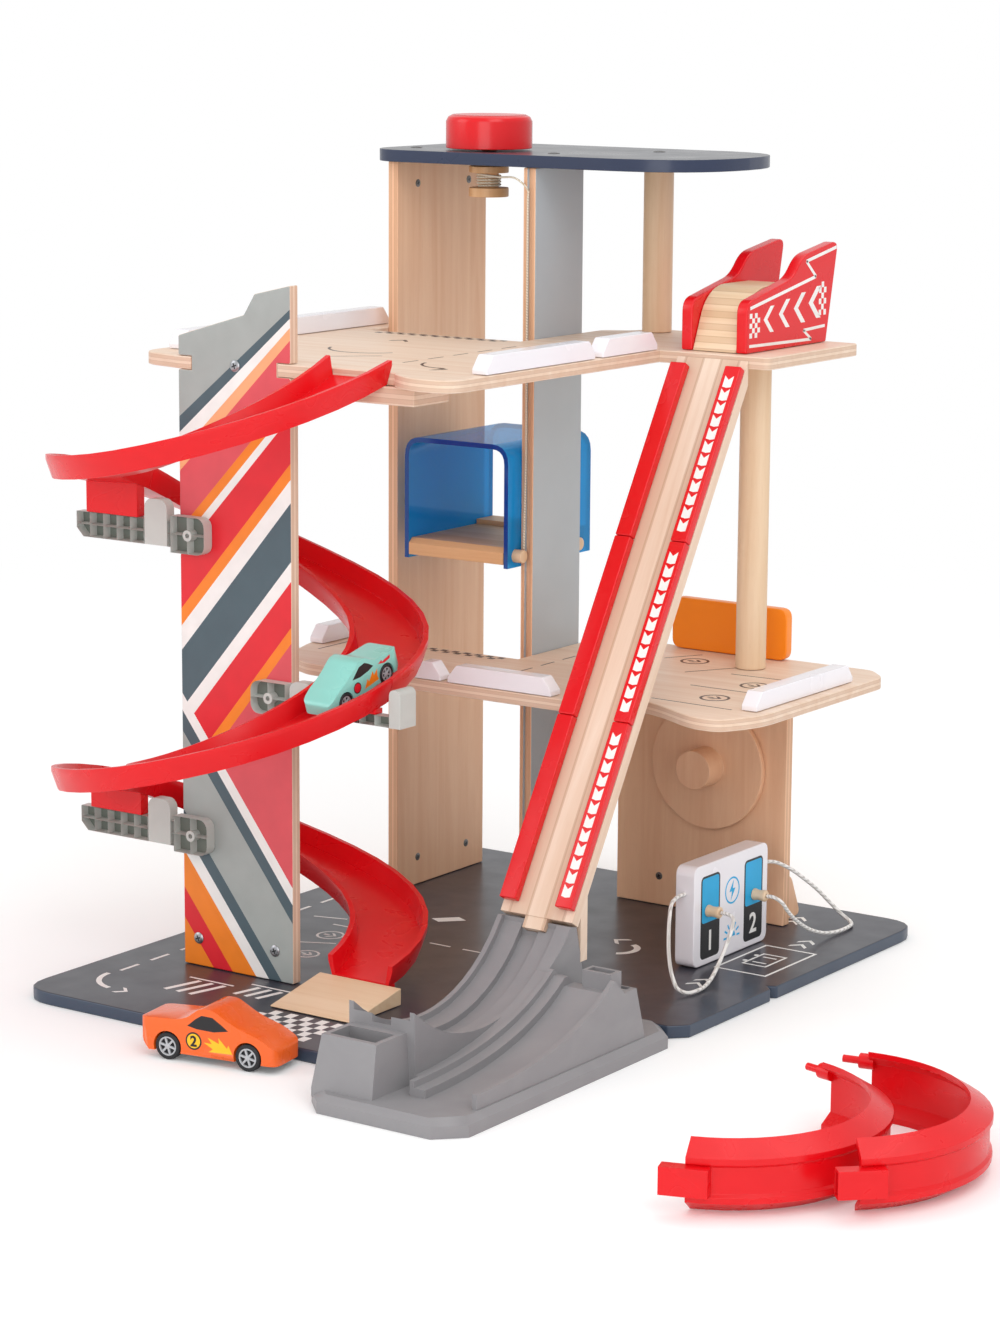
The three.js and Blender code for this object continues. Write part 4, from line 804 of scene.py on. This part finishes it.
def railMarks(s):
    low, high = edges("ramp_rail_right_1")
    middle, half, tip = (low.x + high.x) / 2, s["wide"] / 2, s["notch"]
    length = (Vector(s["top"]) - Vector(s["foot"])).length - 2 * s["railInset"]
    each = length / s["rails"]
    count = int((each - s["railEnds"]) / s["pitch"])
    lead = (each - count * s["pitch"] + s["pitch"] - s["mark"]) / 2
    outlines = []
    for rail in range(s["rails"]):
        for k in range(count):
            a = s["railInset"] + rail * each + lead + k * s["pitch"]
            b = a + s["mark"]
            outlines.append([
                (a, middle - half), (a - tip + 2, middle), (a, middle + half),
                (b, middle + half), (b - tip, middle), (b, middle - half),
            ])
    return outlines


printMarks("ramp_rail_print", onRampRails(rampSet), "whiteInk", railMarks(rampSet), "ramp_rail_right_1")
print("prints are laid")


# Charging post: screens with plain numbers, a bolt and a sun

digitSet = {"thick": 0.24, "bolder": 0.25}  # mm


def addDigit(bm, value, size, at, index):
    # a plain number as flat outlines made by Blender's own font
    data = bpy.data.curves.new("digit" + value, "FONT")
    data.body = value
    data.size = size * mm
    data.align_x = "CENTER"
    data.extrude = digitSet["thick"] / 2 * mm
    data.offset = digitSet["bolder"] * mm
    start = len(bm.faces)
    addCurve(bm, data, at)
    bm.faces.ensure_lookup_table()
    for face in bm.faces[start:]:
        face.material_index = index


def roundedBox(low, high, corner, parts=5):
    (x0, y0), (x1, y1) = low, high
    centres = [(x1 - corner, y1 - corner, 0), (x0 + corner, y1 - corner, 90),
               (x0 + corner, y0 + corner, 180), (x1 - corner, y0 + corner, 270)]
    points = []
    for cx, cy, turn in centres:
        for k in range(parts + 1):
            angle = radians(turn + 90 * k / parts)
            points.append((cx + corner * cos(angle), cy + corner * sin(angle)))
    return points


chargerSet = {
    "screens": [(48.5, 69.5, "1"), (97, 118, "2")],  # from and to along Y
    "low": 11.5, "split": 33.0, "top": 61.0, "corner": 3.2, "rim": 1.3,
    "step": 0.06, "digit": 17, "digitLow": 16.1, "digitStep": 0.1,
    "bolt": (83.5, 46.5), "ring": (7.6, 1.1), "sun": (83.5, 18.5), "sunRadius": 4, "rays": (5.6, 9, 1.2),
    "boltShape": [(1.4, 6), (-3.4, -0.6), (-0.4, -0.6), (-1.6, -6), (3.4, 1), (0.6, 1)],
}


def chargerPrint(s):
    face = edges("charger_box")[1].x
    place = onRight(face)
    raised = onRight(face + s["step"])
    black, blue, white = 0, 1, 2
    bm = bmesh.new()
    rim = s["rim"]
    turn = Matrix(((0, 0, 1, 0), (1, 0, 0, 0), (0, 1, 0, 0), (0, 0, 0, 1)))
    for low, high, number in s["screens"]:
        inlay(bm, [roundedBox((low, s["low"]), (high, s["top"]), s["corner"])], place, black)
        screen = roundedBox((low + rim, s["split"]), (high - rim, s["top"] - rim), s["corner"] - rim)
        inlay(bm, [screen], raised, blue)
        spot = Matrix.Translation(Vector((face + s["digitStep"], (low + high) / 2, s["digitLow"])) * mm)
        addDigit(bm, number, s["digit"], spot @ turn, white)
    bolt, sun = Vector(s["bolt"]), Vector(s["sun"])
    rays = [Vector((cos(pi * k / 12), sin(pi * k / 12))) for k in range(13)]
    inner, outer, wide = s["rays"]
    inlay(bm, [
        *arc(bolt, *s["ring"], 0, 360, 30),
        [bolt + Vector(spot) for spot in s["boltShape"]],
        [sun + ray * s["sunRadius"] for ray in rays],
        *[stroke(sun + ray * inner, sun + ray * outer, wide) for ray in rays[::2]],
    ], place, blue)
    inks = [finish[ink] for ink in ("blackInk", "blueInk", "whiteInk")]
    makePiece("charger_print", bm, inks, "charger_box")


chargerPrint(chargerSet)


# Charging plugs: turned pegs with a rounded grip and a cord hole

plugSet = {  # radius, and distance from the tip or from the end
    "tip": [
        (0, 0), (2.4, 0), (2.9, 0.6), (2.9, 6.2), (3.5, 6.4), (3.55, 7.2), (3.2, 8.2), (3.0, 10), (3.2, 12),
        (3.5, 13.2),
    ],
    "end": [(3.4, -0.7), (2.7, 0), (1.5, 0), (1.35, -0.8), (0, -0.8)],
}


def chargerPlug(node):
    low, high = edges(node)
    end = high.x - low.x
    at = Vector((low.x, (low.y + high.y) / 2, (low.z + high.z) / 2))
    bm = bmesh.new()
    profile = plugSet["tip"] + [(radius, end + height) for radius, height in plugSet["end"]]
    spun(bm, profile, at, (1, 0, 0), 28)
    return makePiece(node + "_turned", bm, [finish["plugWood"]], node, True)


plugs = {node: chargerPlug(node) for node in ("charger_plug_front", "charger_plug_rear")}


# Charging cords: soft braided cords from the post's ends round to the plugs

cordSet = {
    "diameter": 2.3,
    "front": [
        (111.6, 40.7, 52), (111.6, 34, 52), (113, 25, 50.5), (117, 16, 44.5), (121.5, 8, 35),
        (126.5, 1, 25), (132, -4, 16.5), (137.5, -7, 11), (142.5, -5.5, 9.2), (144.8, 2, 9.1),
        (144, 12, 9.4), (142, 23, 12), (139.8, 34, 17.5), (138.2, 44, 25), (137.5, 51, 33),
        (135.6, 55.2, 38.4), (131.6, 56, 40), (127.3, 56, 40),
    ],
    "rear": [
        (111.6, 124.3, 52.7), (111.6, 131, 52.7), (113, 140, 51.3), (116.5, 150, 46.5), (121, 160, 39),
        (126, 170, 30), (131, 178, 20.5), (136, 183.5, 13), (141, 184.5, 9.4), (145, 179, 9.1),
        (146.5, 169, 9.1), (146, 158, 9.3), (144, 146, 11), (141.5, 134, 15.5), (139.3, 123, 22.5),
        (138, 114.5, 30), (136.2, 109.4, 36.6), (131.8, 108, 39), (127.3, 108, 39),
    ],
}


def routed(points, between=6):
    # a smooth line through the points: centripetal Catmull-Rom, as the CAD tube follows
    spots = [Vector(p) for p in points]
    spots = [spots[0] * 2 - spots[1]] + spots + [spots[-1] * 2 - spots[-2]]
    line = []
    for k in range(1, len(spots) - 2):
        p0, p1, p2, p3 = spots[k - 1:k + 3]
        t1 = (p1 - p0).length ** 0.5
        t2 = t1 + (p2 - p1).length ** 0.5
        t3 = t2 + (p3 - p2).length ** 0.5
        for j in range(between):
            t = t1 + (t2 - t1) * j / between
            share = (t - t1) / (t2 - t1)
            a1, a2, a3 = p0.lerp(p1, t / t1), p1.lerp(p2, share), p2.lerp(p3, (t - t2) / (t3 - t2))
            b1, b2 = a1.lerp(a2, t / t2), a2.lerp(a3, (t - t1) / (t3 - t1))
            line.append(b1.lerp(b2, share))
    return line + [spots[-2]]


def cordTube(name, line, diameter, material, rounds=3):
    # a tube along the line, as a mesh
    data = bpy.data.curves.new(name, "CURVE")
    data.dimensions = "3D"
    data.bevel_depth = diameter / 2 * mm
    data.bevel_resolution = rounds
    data.use_fill_caps = True
    spline = data.splines.new("POLY")
    spline.points.add(len(line) - 1)
    for point, spot in zip(spline.points, line):
        point.co = (*(Vector(spot) * mm), 1.0)
    bm = bmesh.new()
    addCurve(bm, data)
    bmesh.ops.remove_doubles(bm, verts=bm.verts, dist=0.005 * mm)
    bmesh.ops.recalc_face_normals(bm, faces=bm.faces)
    return meshPiece(name, bm, [material], 50)


def lineLength(line):
    return sum((Vector(b) - Vector(a)).length for a, b in zip(line, line[1:]))


for end in ("front", "rear"):
    node = "charger_cord_" + end
    line = routed(cordSet[end])
    cord = cordTube(node + "_braided", line, cordSet["diameter"], finish["cord"])
    standIn(node)
    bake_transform(cord)
    print(end, "cord is", round(lineLength(line)), "mm long")


# Lift string: the winding on the spool, and the run past the guide panel to the cabin

stringSet = {
    "radius": 0.6, "fit": 0.3, "turns": 4, "stepsPerTurn": 48, "coreRadius": 6.0, "tail": 4.4, "bend": 6.0,
    "lean": 1.5, "hung": (0, 0.025, 0.25, 0.5, 0.75), "bendsBelow": 8.0,
}


def stringPieces(s):
    low, high = edges("string_winding")
    guideLow, guideHigh = edges("east_lift_panel")
    axis = Vector(jointOf["winch_turn"]["pos_m"]) / mm
    away = s["coreRadius"] + s["radius"] + s["fit"]
    hangX = (guideLow.x + guideHigh.x) / 2
    hangY = guideLow.y - s["radius"] * 3
    toCorner = Vector((guideLow.x - s["bend"] / 2 - axis.x, hangY - axis.y))
    leave = atan2(toCorner.y, toCorner.x) - acos(away / toCorner.length)
    bottom, top = low.z + s["radius"], high.z - s["radius"]
    steps = s["turns"] * s["stepsPerTurn"]
    wound = []
    for k in range(steps + 1):
        angle = leave + 2 * pi * (k - steps) / s["stepsPerTurn"]
        height = bottom + (top - bottom) * k / steps
        wound.append(Vector((axis.x + away * cos(angle), axis.y + away * sin(angle), height)))
    leaving = Vector((-sin(leave), cos(leave), 0))
    wound.append(wound[-1] + leaving * s["tail"])
    winding = cordTube("string_winding_turns", wound, s["radius"] * 2, finish["string"], 2)
    standIn("string_winding")
    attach(winding, bodyOf["string_winding"])

    start = wound[-1] + leaving * s["fit"]
    corner = Vector((axis.x + toCorner.x, hangY, start.z))
    foot = edges("cabin_dowel_front")[1].z + s["fit"]
    drop = start.z - s["bend"] - foot
    hung = [Vector((hangX, hangY, start.z - s["bend"] - drop * share)) for share in s["hung"]]
    tied = Vector((hangX, hangY - s["lean"], foot))
    line = routed([start, start.lerp(corner, 0.5), corner, *hung, tied], 10)
    run = cordTube("lift_string_run", line, s["radius"] * 2, finish["string"], 2)
    standIn("lift_string")
    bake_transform(run)


stringPieces(stringSet)
print("cords and string are in place")


# Screws: pan heads with a cross recess, drawn as a black cross just proud of the head: painted shade

screwSet = {
    "panel": {"radius": 3.4, "high": 1.0, "finish": "screw"},
    "roof": {"radius": 3.6, "high": 0.5, "finish": "darkScrew"},
    "wall": {"radius": 2.4, "high": 0.35, "finish": "darkScrew"},
}


def screws(name, node, kind, axis, spots):
    # spots lie on the node's face that looks along axis, with their other two places in mm
    s = screwSet[kind]
    r, h = s["radius"], s["high"]
    axis = Vector(axis)
    k = max(range(3), key=lambda i: abs(axis[i]))
    face = edges(node)[1][k] if axis[k] > 0 else edges(node)[0][k]
    bm = bmesh.new()
    for spot in spots:
        at = Vector([*spot[:k], face, *spot[k:]])
        profile = [(0, -0.4), (r, -0.4), (r, h * 0.35), (r * 0.82, h * 0.8), (r * 0.5, h), (0, h)]
        spun(bm, profile, at, axis, 20)
        turn = axis.to_track_quat("Z", "X").to_matrix().to_4x4()
        turn = Matrix.Translation(at) @ turn @ Matrix.Rotation(radians(20), 4, "Z")
        # the cross recess is two black bars just proud of the head: painted shade where the recess would be
        for x, y, top in ((r * 0.5, r * 0.12, h + 0.04), (r * 0.12, r * 0.5, h + 0.05)):
            block(bm, (-x, -y, h - 0.2), (x, y, top), 1, turn)
    makePiece(name, bm, [finish[s["finish"]], finish["blackInk"]], node)


screws("tower_screws", "tower_panel", "panel", (0, -1, 0), [(-88.6, 357.4), (-118.6, 24.2), (-62.7, 25.6)])
westSpots = [(108, 25.5), (160.5, 24), (107, 447), (160.5, 447)]
screws("lift_panel_screws", "west_lift_panel", "wall", (1, 0, 0), westSpots)
screws("roof_screws", "roof_board", "roof", (0, 0, 1), [(-131, 110), (-131, 165), (-27, 105), (10, 163)])
screws("wall_screws", "lower_wall_panel", "wall", (0, -1, 0), [(22.6, 26), (96, 26)])
print("screws are in")


# Road brackets: ribbed clips with open pockets

bracketSet = {
    "axisX": -89.6,  # the road's own axis, which the spans are counted from
    "thick": 7.2, "rib": 0.8, "pocket": 5.4, "round": 5.5, "slant": 5.0, "barCut": 0.4, "recess": 0.5,
    "plate": (16.4, 40.8), "plateBelow": 3.0, "plateGrid": (2, 2), "barCells": 7,
    "tab": (43.8, 60.2), "tabUp": 12.0, "tabRound": 5.4,
    "hub": 3.2, "bore": 1.4, "hubDeep": 6.0,
    "cap": (113.0, 120.6), "capUp": 15.5, "capRound": 3.4,
    "each": {  # side, top of the bar, its height, rise of the plate, end of the bar, rows of pockets
        "road_bracket_upper": (-1, 267.0, 14.5, 3.6, 111.3, 2),
        "road_bracket_middle": (1, 173.2, 6.0, 9.6, 113.0, 1),
        "road_bracket_lower": (-1, 93.0, 14.5, 3.6, 111.3, 2),
    },
}


def cutCorners(bm, verts, x, heights, size, segments):
    # bevels the edges along Y at one end, at the given heights
    found = []
    for edge in {edge for vert in verts for edge in vert.link_edges}:
        a, b = (vert.co / mm for vert in edge.verts)
        level = min(abs(a.z - height) for height in heights)
        if abs(a.y - b.y) > 1 and max(abs(a.x - x), abs(b.x - x), level) < 0.01:
            found.append(edge)
    bmesh.ops.bevel(
        bm, geom=found, offset=size * mm, segments=segments, profile=0.5, affect="EDGES", material=-1,
    )


def pocketed(bm, low, high, grid, s, corners):
    # a block whose front is a grid of pockets; corners is [x, heights, size, segments]
    verts = bmesh.ops.create_grid(bm, x_segments=grid[0], y_segments=grid[1], size=0.5)["verts"]
    low, high = Vector(low), Vector(high)
    size, middle = (high - low) * mm, (low + high) / 2 * mm
    place = Matrix.Translation((middle.x, low.y * mm, middle.z))
    turn = Matrix.Rotation(pi / 2, 4, "X") @ Matrix.Diagonal((size.x, size.z, 1, 1))
    bmesh.ops.transform(bm, matrix=place @ turn, verts=verts)
    front = list({face for vert in verts for face in vert.link_faces})
    grown = bmesh.ops.extrude_face_region(bm, geom=front)["geom"]
    back = [g for g in grown if isinstance(g, bmesh.types.BMVert)]
    bmesh.ops.translate(bm, verts=back, vec=(0, size.y, 0))
    faces = {face for vert in verts + back for face in vert.link_faces}
    bmesh.ops.recalc_face_normals(bm, faces=list(faces))
    cutCorners(bm, verts, *corners)
    bm.normal_update()
    cells = []
    for face in bm.faces:
        middle = face.calc_center_median() / mm
        inside = low.x < middle.x < high.x and low.z < middle.z < high.z
        if inside and face.normal.y < -0.9 and abs(middle.y - low.y) < 0.01:
            cells.append(face)
    bmesh.ops.inset_individual(bm, faces=cells, thickness=s["rib"] * mm, depth=-s["pocket"] * mm)
    # the pocket floors take the darker grey: painted shade
    for face in cells:
        face.material_index = 1


def roundedTop(bm, low, high, radius):
    # a block with round upper corners
    faces = block(bm, low, high)
    verts = {vert for face in faces for vert in face.verts}
    for x in (low[0], high[0]):
        found = [vert for vert in verts if vert.is_valid]
        cutCorners(bm, found, x, [high[2]], radius, 5)


def roadBracket(node, s):
    side, top, barHigh, plateUp, reach, rows = s["each"][node]
    low, high = edges(node)
    front, back = low.y, low.y + s["thick"]
    bottom = top - barHigh
    bm = bmesh.new()

    def span(pair):
        return sorted(s["axisX"] + side * away for away in pair)

    plate = span(s["plate"])
    plateLow, plateHigh = bottom - s["plateBelow"], top + plateUp
    roundX = plate[0] if side > 0 else plate[1]
    pocketed(bm, (plate[0], front, plateLow), (plate[1], back, plateHigh), s["plateGrid"], s,
             (roundX, [plateLow, plateHigh], s["round"], 5))
    bar = span((s["plate"][1], reach))
    endX, cut = (bar[1], s["barCut"]) if side > 0 else (bar[0], s["slant"])
    pocketed(bm, (bar[0], front + s["recess"], bottom), (bar[1], back, top), (s["barCells"], rows), s,
             (endX, [bottom], cut, 1))
    hub = Vector((sum(plate) / 2, front, (plateLow + plateHigh) / 2))
    r, bore, deep = s["hub"], s["bore"], s["hubDeep"]
    spun(bm, [(bore, deep), (bore, 0), (r, 0), (r, deep), (bore, deep)], hub, (0, 1, 0), 20, 0)
    tab = span(s["tab"])
    roundedTop(bm, (tab[0], front + s["recess"], bottom), (tab[1], back, top + s["tabUp"]), s["tabRound"])
    if side > 0:
        cap = span(s["cap"])
        roundedTop(bm, (cap[0], front, bottom), (cap[1], high.y, top + s["capUp"]), s["capRound"])
    makePiece(node + "_ribbed", bm, [finish["lightGrey"], finish["pocketShade"]], node, True)


for node in bracketSet["each"]:
    roadBracket(node, bracketSet)
print("brackets are made")


# Cars

carSet = {
    "wheelBase": 49.0, "width": 28.0, "wheelRadius": 7.5, "wheelWide": 5.8,
    "edge": 2.4, "rimRadius": 5.4, "spokes": 6, "number": ("2", 8.0), "step": 0.06,
}


def axles(car):
    spots = [Vector(jointOf[f"{car}_{end}_wheels_turn"]["pos_m"]) / mm for end in ("front", "rear")]
    return *spots, (spots[1] - spots[0]).length / carSet["wheelBase"]


def carSpace(car):
    # the car's own frame: nose towards -X, wheels on z = 0, in the sizes of the larger car
    front, rear, size = axles(car)
    along = (rear - front).normalized()
    side = Vector(jointOf[car + "_front_wheels_turn"]["axis"]).normalized()
    up = along.cross(side)
    if up.z < 0:
        side, up = -side, -up
    middle = (front + rear) / 2 - up * carSet["wheelRadius"] * size
    turn = Matrix((along, side, up)).transposed().to_4x4()
    return Matrix.Translation(middle) @ turn @ Matrix.Scale(size, 4)


def onSide(space, side, level):
    return lambda u, v, out: space @ Vector((u, side * (level + out), v)) * mm


def carBody(car, material, marks, roundel, number=None):
    node = car + "_car_body"
    bm = nodeMesh(node)
    space = carSpace(car)
    up = (space.to_3x3() @ Vector((0, 0, 1))).normalized()
    size = axles(car)[2]
    bm.normal_update()

    def topEdge(edge):
        a, b = [face.normal.dot(up) for face in edge.link_faces]
        return max(a, b) > 0.3 > min(a, b) > -0.3

    roundEdges(bm, carSet["edge"] * size, 4, 30, topEdge)
    roundEdges(bm, 0.5 * size, 2, 40)
    makePiece(car + "_car_shaped", bm, [material], node, True, 40)
    inks = sorted({ink for ink, outlines in marks})
    bm = bmesh.new()
    face, step = carSet["width"] / 2, carSet["step"]
    for side in (-1, 1):
        for ink, outlines in marks:
            inlay(bm, outlines, onSide(space, side, face), inks.index(ink))
        ink, centre, radius = roundel
        inlay(bm, disc(centre, radius), onSide(space, side, face + step), inks.index(ink))
        if number:
            value, tall = carSet["number"]
            out = side * (face + 2 * step)
            turn = Matrix(((-side, 0, 0, number[0]), (0, 0, side, out), (0, 1, 0, number[1]), (0, 0, 0, 1)))
            at = Matrix.Scale(mm, 4) @ space @ turn @ Matrix.Scale(1 / mm, 4)
            addDigit(bm, value, tall, at, inks.index("blackInk"))
    makePiece(car + "_car_print", bm, [finish[ink] for ink in inks], node)


def wheelPair(node, car):
    s = carSet
    joint = jointOf[node.replace("_car", "") + "_turn"]
    at = Vector(joint["pos_m"]) / mm
    axis = Vector(joint["axis"]).normalized()
    size = axles(car)[2]
    half, r, w, rimR = s["width"] / 2 + 0.3, s["wheelRadius"], s["wheelWide"], s["rimRadius"]

    def sized(profile):
        return [(radius * size, height * size) for radius, height in profile]

    bm = bmesh.new()
    for side in (-1, 1):
        out = axis * side
        inner = at + out * (half - w) * size
        tyre = [
            (0, 0), (r - 0.8, 0), (r - 0.1, 0.7), (r, 1.4), (r, w - 1.4), (r - 0.1, w - 0.7),
            (r - 0.8, w), (rimR + 0.3, w), (rimR, w - 0.3), (rimR, w - 1.6), (0, w - 1.6),
        ]
        spun(bm, sized(tyre), inner, out, 36, 0)
        face = inner + out * (w - 1.5) * size
        rim = [(rimR - 0.9, 0), (rimR - 0.9, 1.1), (rimR - 0.1, 1.1), (rimR - 0.1, 0)]
        spun(bm, sized(rim), face, out, 36, 1)
        spun(bm, sized([(0, 0), (1.6, 0), (1.6, 1.1), (1.2, 1.3), (0, 1.3)]), face, out, 16, 1)
        turn = out.to_track_quat("Z", "X").to_matrix().to_4x4()
        turn = Matrix.Translation(face) @ turn @ Matrix.Scale(size, 4)
        for k in range(s["spokes"]):
            spoke = turn @ Matrix.Rotation(2 * pi * k / s["spokes"] + 0.3, 4, "Z")
            block(bm, (1.2, -0.55, 0.0), (rimR - 0.6, 0.55, 1.0), 1, spoke)
    spun(bm, sized([(0, -half + 3), (1.4, -half + 3), (1.4, half - 3), (0, half - 3)]), at, axis, 12, 1)
    makePiece(node + "_spoked", bm, [finish["tyre"], finish["rim"]], node, True)


sideWindow = [(-13, 20.6), (-9, 23.4), (-3.4, 26.9), (3.2, 27.2), (7, 24.8), (12, 20.6), (6, 19.4), (-4, 19)]
orangeMarks = [
    ("blackInk", [sideWindow] + disc((8.2, 12.6), 4.9, 28)),
    ("yellowInk", [[
        (-15.4, 8.2), (-13, 13), (-12.2, 11), (-7, 16.2), (-7.4, 13),
        (-0.5, 15.6), (-3, 12.4), (2, 12.6), (-3.6, 9.6), (-1, 7.8),
    ]]),
]
mintMarks = [
    ("blackInk", [sideWindow] + disc((-9.5, 12.6), 4.3, 28)),
    ("orangeInk", [[(-2, 8), (3, 14), (4, 11.4), (10, 17), (10.6, 13.4), (15.4, 16.6), (14, 11), (15, 8)]]),
    ("redInk", [[(17.5, 19.2), (22, 20.6), (22, 18.9), (32, 20.2), (31.5, 17.6), (24.5, 17)]]),
]
carBody("orange", finish["orangeCar"], orangeMarks, ("yellowInk", (8.2, 12.6), 4.0), (8.2, 9.8))
carBody("mint", finish["mintCar"], mintMarks, ("redInk", (-9.5, 12.6), 3.5))
for car in ("orange", "mint"):
    for end in ("front", "rear"):
        wheelPair(car + "_car_" + end + "_wheels", car)
print("cars are made")


# Studio: a pale floor and soft lamps

studioSet = {
    "ambient": 0.78,
    "floor": 60.0,  # m
    "paper": (0.93, 0.93, 0.93, 1),
    "glow": 0.1,  # light that the floor adds for the camera
    "fade": (0.55, 1.5),  # m from the toy, over which the floor turns to plain white
    "lamps": [  # place in m, size in m, power in W
        ((2.1, -1.5, 2.3), 1.8, 23),
        ((-2.2, -2.0, 1.4), 1.6, 14),
        ((0.2, 0.6, 2.6), 1.8, 12),
        ((0.9, -2.3, 0.65), 1.4, 11),
    ],
    "aim": (0.0, 0.0, 0.22),
}


def cameraSees(tree):
    path = addNode(tree, "ShaderNodeLightPath")
    return sums(tree, "MAXIMUM", path.outputs["Is Camera Ray"], path.outputs["Is Transmission Ray"])


def setStudio(s):
    world = bpy.data.worlds.new("studioWorld")
    world.use_nodes = True
    tree = world.node_tree
    strength = spread(tree, cameraSees(tree), 0.0, 1.0, s["ambient"], 1.0)
    setInputs(tree, tree.nodes["Background"], {"Color": (1, 1, 1, 1), "Strength": strength})
    bpy.context.scene.world = world

    bm = bmesh.new()
    bmesh.ops.create_grid(bm, x_segments=1, y_segments=1, size=s["floor"] / 2)
    material, tree, shader = newMaterial("whitePaperFloor")
    setInputs(tree, shader, {"Base Color": s["paper"], "Roughness": 0.9, "Specular IOR Level": 0.1})

    def mixed(share, a, b):
        inputs = {0: share, 1: a.outputs[0], 2: b.outputs[0]}
        return addNode(tree, "ShaderNodeMixShader", inputs)

    def emitting(strength):
        return addNode(tree, "ShaderNodeEmission", {"Color": (1, 1, 1, 1), "Strength": strength})

    lit = addNode(tree, "ShaderNodeAddShader", {0: shader.outputs[0], 1: emitting(s["glow"]).outputs[0]})
    coords = addNode(tree, "ShaderNodeTexCoord").outputs["Object"]
    away = addNode(tree, "ShaderNodeVectorMath", {0: coords}, operation="LENGTH").outputs["Value"]
    seen = mixed(cameraSees(tree), shader, mixed(spread(tree, away, *s["fade"]), lit, emitting(1.0)))
    tree.links.new(seen.outputs[0], tree.nodes["Material Output"].inputs["Surface"])
    meshPiece("studio_floor", bm, [material])

    for k, (place, size, power) in enumerate(s["lamps"]):
        data = bpy.data.lights.new(f"softbox{k + 1}", "AREA")
        data.size = size
        data.energy = power
        lamp = addObject(data.name, data)
        lamp.location = place
        lamp.rotation_euler = (Vector(s["aim"]) - Vector(place)).to_track_quat("-Z", "Y").to_euler()


setStudio(studioSet)
bpy.context.scene.view_settings.view_transform = "Standard"
print("studio is lit")
